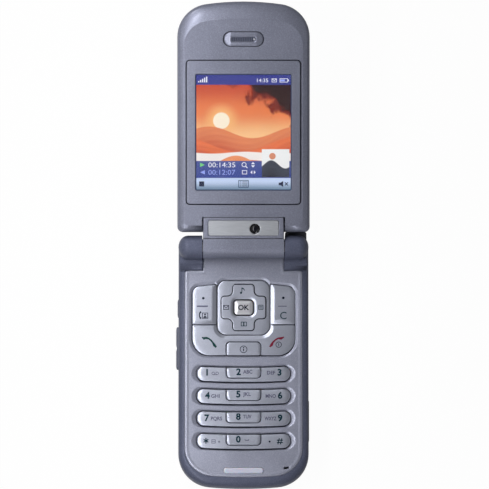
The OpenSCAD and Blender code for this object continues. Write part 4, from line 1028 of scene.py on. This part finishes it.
def makeCoverLip():
    # a low rounded bead just inside the cover's edge: (inset, height above the cover)
    section = [(0.04, -0.3), (0.04, 0.0), (0.18, 0.035), (0.36, 0.06), (0.5, 0.062), (0.8, 0.045), (1.35, -0.005),
               (1.35, -0.3)]
    spots = topOutline("front_cover", keypad["coverTop"])
    area = sum(a.x * b.y - b.x * a.y for a, b in zip(spots, spots[1:] + spots[:1]))
    if area < 0:
        spots.reverse()
    bm = bmesh.new()
    rings = []
    for index, spot in enumerate(spots):
        before = (spot - spots[index - 1]).normalized()
        after = (spots[(index + 1) % len(spots)] - spot).normalized()
        inward = (Vector((-before.y, before.x)) + Vector((-after.y, after.x))).normalized()
        inward /= max(0.5, inward.dot(Vector((-after.y, after.x))))
        rings.append([bm.verts.new((*(spot + inward * inset), keypad["coverTop"] + up)) for inset, up in section])
    for here, there in zip(rings, rings[1:] + rings[:1]):
        for k in range(len(section)):
            bm.faces.new((here[k], there[k], there[(k + 1) % len(section)], here[(k + 1) % len(section)]))
    faceOut(bm)
    lip = cutAway(toObject(bm, "coverLip", basePlace, "coverPaint"), slotCutter(0.12))
    settle(lip, "base", angle=50)
    return len(spots)


print("base shells made, lip points:", makeCoverLip())


# ---- side keys

sideFace = Matrix(((0, 0, -1, 0), (1, 0, 0, 0), (0, -1, 0, 0), (0, 0, 0, 1)))
sideKeys = {"side_key": dict(name="sideKey", middle=-21.4, length=7.1, reach=24.98),
            "volume_rocker": dict(name="volumeRocker", middle=-36.8, length=16.3, reach=25.48)}
sideKeyLevel, dipRadius = -8.0, 3.0
for name, sideKey in sideKeys.items():
    corners = boxCorners(sideKey["length"], 3.3, sideKey["middle"], sideKeyLevel, 1.2)
    piece = toObject(solidCap(corners, 21.75, sideKey["reach"], 0.5, [(0.5, 0.12)]), sideKey["name"], basePlace, "sideTrim")
    if name == "volume_rocker":
        # a shallow dip between its two ends
        dip = bmesh.new()
        spot = Matrix.Translation((sideKey["middle"], sideKeyLevel, sideKey["reach"] + 2.72))
        bmesh.ops.create_cone(dip, cap_ends=True, segments=40, radius1=dipRadius, radius2=dipRadius, depth=6,
                              matrix=spot @ Matrix.Rotation(math.pi / 2, 4, "X"))
        cutAway(piece, dip)
    piece.data.transform(sideFace)
    settle(piece, name, [name])
print("side keys made")


# ---- lid shells

ear = {"middle": 78.7, "width": 15.2, "length": 5.4, "low": 3.2, "top": 4.62, "edge": 0.5, "slopeFrom": 4.8, "slope": 0.26,
       "slotWidth": 9.4, "slotLength": 1.7, "floor": 4.05, "bars": 13, "barWide": 0.16}
cameraPart = {"width": 30.4, "low": 1.0, "from": 3.4, "to": 11.35, "top": 4.5, "plate": (26.5, 5.7, 7.35), "plateLow": 3.95,
              "lens": (4.3, 7.05), "lensRadius": 1.9}


def inLid(bm):
    return toObject(bm, "tool", lidPlace)


def earCorners(by=0):
    return grown(boxCorners(ear["width"], ear["length"], 0, ear["middle"], ear["length"] / 2 - 0.12), by)


def housingCorners(by=0):
    return grown(boxCorners(cameraPart["width"], cameraPart["to"] - cameraPart["from"], 0,
                            (cameraPart["to"] + cameraPart["from"]) / 2, 0.6), by)


def lensTool(radius, low, steps):
    x, y = cameraPart["lens"]
    return flaredCutter(boxCorners(2 * radius, 2 * radius, x, y, radius - 0.03), low, steps)


lidFace = phone["innerFace"]
lidUp = Vector((0, -math.sin(math.radians(phone["lidTilt"])), math.cos(math.radians(phone["lidTilt"]))))
earWell = inLid(flaredCutter(earCorners(0.1), lidFace - 1.2, [(0, 0.95), (0.06, 0.12), (0.12, 0.13), (0.3, 0.2)]))


def lidSteep(face, limit=0.45):
    return abs(face.normal.dot(lidUp)) < limit


# steep walls of the lid's recesses and the floor of the display groove, which get painted shade
def lidWall(face):
    x, y, z = lidPlace.inverted() @ face.center
    return abs(x) < 22.4 and 2 < y < 83 and z > 1.5 and (lidSteep(face) or (z < 3.9 and y > 14))


def markCreases(piece, up):
    # a crisp line where the flat face meets its bevels
    sides = {}
    for face in piece.data.polygons:
        for pair in face.edge_keys:
            sides.setdefault(pair, set()).add(face.normal.dot(up) > 0.9998)
    for edge in piece.data.edges:
        if len(sides[edge.key]) == 2:
            edge.use_edge_sharp = True


markCreases(shellCopy("lid_inner_cover", "lidInner", angle=56, cutters=[earWell], chosen=lidWall), lidUp)
shellCopy("lid_outer_cover", "lidOuter", angle=35)
print("lid shells made")


def lidPiece(bm, name, slot, *replaced, cutters=()):
    piece = cutAway(toObject(bm, name, lidPlace, paintOf(slot)), *cutters)
    return settle(piece, "lid", replaced)


def makeDisplayFrame():
    low, middle = display["level"], display["middle"]
    bm = solidCap(grown(boxCorners(*display["frame"], 0, middle, 1.5), -0.22), low, lidFace, 0.3)
    steps = [(0, lidFace - low + 1 - 0.25), (0.08, 0.12), (0.14, 0.13), (0.3, 0.2)]
    hole = flaredCutter(boxCorners(*display["opening"], 0, middle, 0.65), low - 1, steps)
    # the frame's steep walls get painted shade
    ringPiece = darken(cutAway(toObject(bm, "displayFrame", lidPlace, "lidPaint"), inLid(hole)), lidSteep)
    settle(ringPiece, "lid", ["display_bezel"])


def makeEarpiece():
    bm = solidCap(earCorners(), ear["low"], ear["top"], ear["edge"], [(0.4, 0.04)], segments=9)
    for side in (1, -1):
        everything = bm.verts[:] + bm.edges[:] + bm.faces[:]
        bmesh.ops.bisect_plane(bm, geom=everything, plane_co=(side * ear["slopeFrom"], 0, 0), plane_no=(1, 0, 0), dist=0.001)
    for vert in bm.verts:
        if vert.co.z > ear["low"] + 0.5:
            vert.co.z -= max(0, abs(vert.co.x) - ear["slopeFrom"]) * ear["slope"]
    slotY = ear["middle"] - 0.1
    slot = boxCorners(ear["slotWidth"], ear["slotLength"], 0, slotY, ear["slotLength"] / 2 - 0.06)
    bite = flaredCutter(slot, ear["floor"], [(0, 0.2), (0.10, 0.12), (0.14, 0.12), (0.16, 0.10), (0.3, 0.1), (0.4, 0.2)])
    lidPiece(bm, "earpieceInsert", "lid_paint", "earpiece_grille", cutters=[inLid(bite)])
    cloth = solidCap(grown(slot, -0.05), ear["floor"] - 0.2, ear["floor"] + 0.02, 0.01)
    lidPiece(cloth, "earpieceCloth", "side_trim")
    # a bright silver ball at the slot's right end stands in for the highlight on the slot's wall there: a painted
    # highlight
    bm = bmesh.new()
    glintBallPlace = Matrix.Translation((4.1, slotY, ear["floor"]))
    bmesh.ops.create_uvsphere(bm, u_segments=20, v_segments=12, radius=0.42, matrix=glintBallPlace)
    lidPiece(bm, "earpieceStud", "ok_silver")
    bm = bmesh.new()
    pitch = ear["slotWidth"] / (ear["bars"] + 1)
    for index in range(ear["bars"] - 1):
        x = -ear["slotWidth"] / 2 + pitch * (index + 1)
        wire = Matrix.Translation((x, slotY, ear["floor"] + 0.06)) @ Matrix.Rotation(math.pi / 2, 4, "X")
        bmesh.ops.create_cone(bm, cap_ends=True, segments=8, radius1=ear["barWide"] / 2, radius2=ear["barWide"] / 2,
                              depth=ear["slotLength"] - 0.12, matrix=wire)
    settle(toObject(bm, "earpieceBars", lidPlace, "grooveDark"), "lid")


def makeCamera():
    low, top = cameraPart["low"], cameraPart["top"]
    width, length, y = cameraPart["plate"]
    plateLow, plateTop = cameraPart["plateLow"], cameraPart["plateLow"] + 0.5
    recess = flaredCutter(boxCorners(width + 0.2, length + 0.2, 0, y, 0.8), plateLow,
                          [(0, 0.38), (0.08, 0.09), (0.14, 0.08), (0.3, 0.2)])
    lidPiece(solidCap(housingCorners(), low, top, 0.35), "cameraHousing", "lid_paint", "camera_housing",
             cutters=[inLid(recess), inLid(lensTool(2.3, low - 1, [(0, 4)]))])
    holeSteps = [(0, plateTop - low - 0.16), (0.14, 0.10), (0.14, 0.06), (0.3, 0.2)]
    lidPiece(solidCap(boxCorners(width, length, 0, y, 0.75), plateLow, plateTop, 0.14), "cameraPlate", "plate_silver",
             "camera_plate", cutters=[inLid(lensTool(cameraPart["lensRadius"] + 0.06, low, holeSteps))])
    # turned lens: barrel, dished ring and a glass dome
    profile = [(0, 3.42), (1.90, 3.42), (1.90, 4.22), (1.80, 4.33), (1.62, 4.35), (1.50, 4.28), (1.12, 3.98), (1.05, 3.98),
               (0.98, 4.06), (0.80, 4.14), (0.52, 4.20), (0.26, 4.23), (0, 4.24)]
    bm = bmesh.new()
    points = [bm.verts.new((r, 0, z)) for r, z in profile]
    edges = [bm.edges.new(pair) for pair in zip(points, points[1:])]
    bmesh.ops.spin(bm, geom=points + edges, cent=(0, 0, 0), axis=(0, 0, 1), dvec=(0, 0, 0), angle=2 * math.pi, steps=40,
                   use_merge=True, use_duplicate=False)
    bmesh.ops.remove_doubles(bm, verts=bm.verts, dist=0.002)
    faceOut(bm)
    for part in bm.faces:
        middle = part.calc_center_median()
        part.material_index = 1 if middle.xy.length < 1.03 and middle.z > 3.9 else 0
    bmesh.ops.translate(bm, vec=(*cameraPart["lens"], 0), verts=bm.verts)
    settle(toObject(bm, "cameraLens", lidPlace, "lensBlack", "darkGlass"), "lid", ["camera_lens"])


display = {"width": 36.1, "length": 43.7, "middle": 43.5, "level": 3.4, "margin": 0.3, "signLeft": -16.9,
           "statusLine": 63.1, "keyLine": 24.0, "frame": (43.4, 54.6), "opening": (36.3, 43.9)}
makeDisplayFrame()
makeEarpiece()
makeCamera()
bumper = {"width": 15.0, "length": 2.3, "middle": -85.1, "low": 13.72, "top": 14.93}
bumperOutline = boxCorners(bumper["width"], bumper["length"], 0, bumper["middle"], bumper["length"] / 2 - 0.1)
bumperBody = solidCap(bumperOutline, bumper["low"], bumper["top"], 0.45, [(0.3, 0.05)], 8)
settle(toObject(bumperBody, "bumperPad", basePlace, "bumperPlastic"), "base", ["bumper_pad"])
print("earpiece, camera and bumper made")


# ---- display

def makePanel():
    # the lit panel, with the picture laid over it from edge to edge
    width, length, middle = display["width"] + display["margin"], display["length"] + display["margin"], display["middle"]
    bm = bmesh.new()
    face = outlineFace(bm, boxCorners(width, length, 0, middle, 0), display["level"] - 0.06)
    layer = bm.loops.layers.uv.new("screen")
    pullUp(bm, face, 0.02)
    faceOut(bm)
    for face in bm.faces:
        for loop in face.loops:
            loop[layer].uv = (loop.vert.co.x / width + 0.5, (loop.vert.co.y - middle) / length + 0.5)
    settle(toObject(bm, "displayPicture", lidPlace, "displayPicture"), "lid")


def displayMarks():
    left, upper, lower = display["signLeft"], display["statusLine"], display["keyLine"]
    return signalBars(white, left, upper - 0.75, 0.75, 0.42, 0.42) + [
        border(white, 15.2, upper, 3.1, 1.5, 0.2), box(blue, 14.75, upper, 1.7, 0.8),
        box(white, 16.95, upper, 0.3, 0.7), border(white, 11.6, upper, 1.9, 1.4, 0.2),
        stroke(white, [(10.8, upper + 0.55), (11.6, upper - 0.1), (12.4, upper + 0.55)], 0.2),
        word(white, "14:35", 7.2, upper, 1.35, 0.0, 4.2), word(white, "00:14:35", -8.2, 31.2, 1.8, 0.0, 10.2),
        word(blue, "00:12:07", -8.2, 28.4, 1.8, 0.0, 10.2),
        shape("litGreen", [(-16.4, 30.4), (-14.6, 31.2), (-16.4, 32.0)]),
        shape(blue, [(-14.6, 27.6), (-14.6, 29.2), (-16.4, 28.4)]), ring(white, 0.2, 31.3, 0.9, 0.24),
        stroke(white, [(0.8, 30.7), (1.5, 30.0)], 0.34), shape(white, [(2.9, 31.5), (4.3, 31.5), (3.6, 32.3)]),
        shape(white, [(2.9, 31.0), (3.6, 30.2), (4.3, 31.0)]), border(white, 0.4, 28.4, 1.9, 1.5, 0.22),
        shape(white, [(2.6, 28.4), (3.3, 27.7), (3.3, 29.1)]), shape(white, [(3.9, 27.7), (4.6, 28.4), (3.9, 29.1)]),
        box(navy, left + 1.1, lower, 1.9, 1.9), border(slate, 0, lower, 3.9, 2.9, 0.3),
        *[box(navy, 0.45, lower + 0.75 * k, 1.9, 0.26) for k in (-1, 0, 1)],
        *[box(navy, -1.05, lower + 0.75 * k, 0.4, 0.3) for k in (-1, 0, 1)],
        shape(navy, [(13.3, lower - 0.5), (14.0, lower - 0.5), (15.0, lower - 1.15), (15.0, lower + 1.15),
                     (14.0, lower + 0.5), (13.3, lower + 0.5)]),
        stroke(navy, [(15.6, lower - 0.6), (16.8, lower + 0.6)], 0.3),
        stroke(navy, [(15.6, lower + 0.6), (16.8, lower - 0.6)], 0.3)]


def clockMarks():
    marks = [word(slate, "14:35", 0, -53.5, 5.0, 0.0, 15.5), border(slate, 8.6, -61.3, 3.0, 1.5, 0.2),
             box(slate, 8.1, -61.3, 1.6, 0.8)]
    return marks + signalBars(slate, -9.6, -62.0, 0.8, 0.45, 0.35)


makePanel()
outerPlace = lidPlace @ Matrix.Rotation(math.pi, 4, "X")
layMarks("outerClock", clockMarks(), "lid", outerPlace, level=3.44, sunk=0.01, proud=0.02)
layMarks("displaySigns", displayMarks(), "lid", lidPlace, level=display["level"] - 0.025,
         sunk=0.005, proud=0.01)
print("display made")


# ---- camera, floor, light

view = {"target": (0.378, 0.956 * 0.976, 19.6 + 0.956 * 0.216), "elevation": 77.5, "distance": 3.0, "lens": 584}
tilt = math.radians(view["elevation"])
away = Vector((0, -math.cos(tilt), math.sin(tilt)))
camera = bpy.data.objects.new("camera", bpy.data.cameras.new("camera"))
camera.data.lens, camera.data.sensor_width, camera.data.clip_end = view["lens"], 36, 20
camera.location = Vector(view["target"]) * 0.001 + away * view["distance"]
camera.rotation_euler = (-away).to_track_quat("-Z", "Y").to_euler()
bpy.context.scene.collection.objects.link(camera)
bpy.context.scene.camera = camera

light = {"world": 0.18, "seen": 1.0, "walls": 0.6, "ceiling": 0.1, "back": 0.25, "left": 0.3, "floorGlow": 0.97,
         "floorShine": 0.1,
         "lamps": [dict(name="leftHigh", place=(-0.056, -0.062, 0.14), aim=(0, -0.062, 0.02), size=(0.376, 0.02), power=0.30),
                   dict(name="cornerGlow", place=(-0.17, 0.30, 0.20), aim=(-0.01, 0.09, 0.04), size=(0.06, 0.06), power=0.2),
                   dict(name="tipGlow", place=(-0.05, 0.13, 0.14), aim=(-0.02, 0.09, 0.04), size=(0.03, 0.02), power=0.042),
                   dict(name="leftStrip", place=(-0.24, 0.0, 0.15), aim=(0, 0, 0.02), size=(0.5, 0.02), power=0.11)]}


def lookingRays(tree):
    # mirrored rays, and rays that come straight from the camera or through glass
    rays = addNode(tree, "LightPath").outputs
    return rays["Is Glossy Ray"], calc(tree, "MAXIMUM", rays["Is Camera Ray"], rays["Is Transmission Ray"])


def makeWorld():
    world = bpy.data.worlds.new("studio")
    bpy.context.scene.world = world
    world.use_nodes = True
    tree = world.node_tree
    glossy, direct = lookingRays(tree)
    # pale walls under a dark ceiling with a dark end wall, white where the camera sees them
    heading = addNode(tree, "SeparateXYZ", {0: addNode(tree, "TexCoord").outputs["Generated"]}).outputs
    mirrored = ramp(tree, heading[2], 0.45, 0.85, light["walls"], light["ceiling"])
    mirrored = times(tree, mirrored, ramp(tree, heading[1], 0.35, 0.85, 1.0, light["back"]))
    mirrored = times(tree, mirrored, ramp(tree, heading[0], -0.85, -0.35, light["left"], 1.0))
    strength = addNode(tree, "Mix", {0: glossy, 2: light["world"], 3: mirrored}, data_type="FLOAT").outputs[0]
    strength = addNode(tree, "Mix", {0: direct, 2: strength, 3: light["seen"]}, data_type="FLOAT").outputs[0]
    setInputs(tree, tree.nodes["Background"], {"Color": (1, 1, 1, 1), "Strength": strength})


def makeFloor():
    bm = bmesh.new()
    bmesh.ops.create_grid(bm, x_segments=2, y_segments=2, size=2000)
    bmesh.ops.translate(bm, vec=(0, 0, cadBox[0][2] * 1000 - 0.05), verts=bm.verts)
    floor = toObject(bm, "floor")
    floor.data.transform(toMetres)
    material, tree, shader = makeMaterial("floorPaper")
    mottle = noise(tree, 30.0, 3.0)
    setInputs(tree, shader, {"Base Color": mixColour(tree, mottle, (0.78, 0.78, 0.78, 1), (0.82, 0.82, 0.82, 1)),
                             "Roughness": 0.9, "Specular IOR Level": 0.0})
    glow = addNode(tree, "Emission", {"Color": (1, 1, 1, 1), "Strength": 1.0})
    glossy, direct = lookingRays(tree)
    share = calc(tree, "MAXIMUM", times(tree, direct, light["floorGlow"]), times(tree, glossy, light["floorShine"]))
    mix = addNode(tree, "MixShader", {0: share, 1: shader.outputs[0], 2: glow.outputs[0]})
    setInputs(tree, tree.nodes["Material Output"], {"Surface": mix.outputs[0]})
    floor.data.materials.append(material)


makeWorld()
makeFloor()
for lamp in light["lamps"]:
    data = bpy.data.lights.new(lamp["name"], "AREA")
    data.shape, data.size, data.size_y, data.energy = "RECTANGLE", lamp["size"][0], lamp["size"][1], lamp["power"]
    lampObject = bpy.data.objects.new(lamp["name"], data)
    lampObject.location = lamp["place"]
    lampObject.rotation_euler = (Vector(lamp["aim"]) - Vector(lamp["place"])).to_track_quat("-Z", "Y").to_euler()
    lampObject.visible_camera = False
    bpy.context.scene.collection.objects.link(lampObject)
bpy.context.scene.view_settings.view_transform = "Standard"
print("camera and light ready")
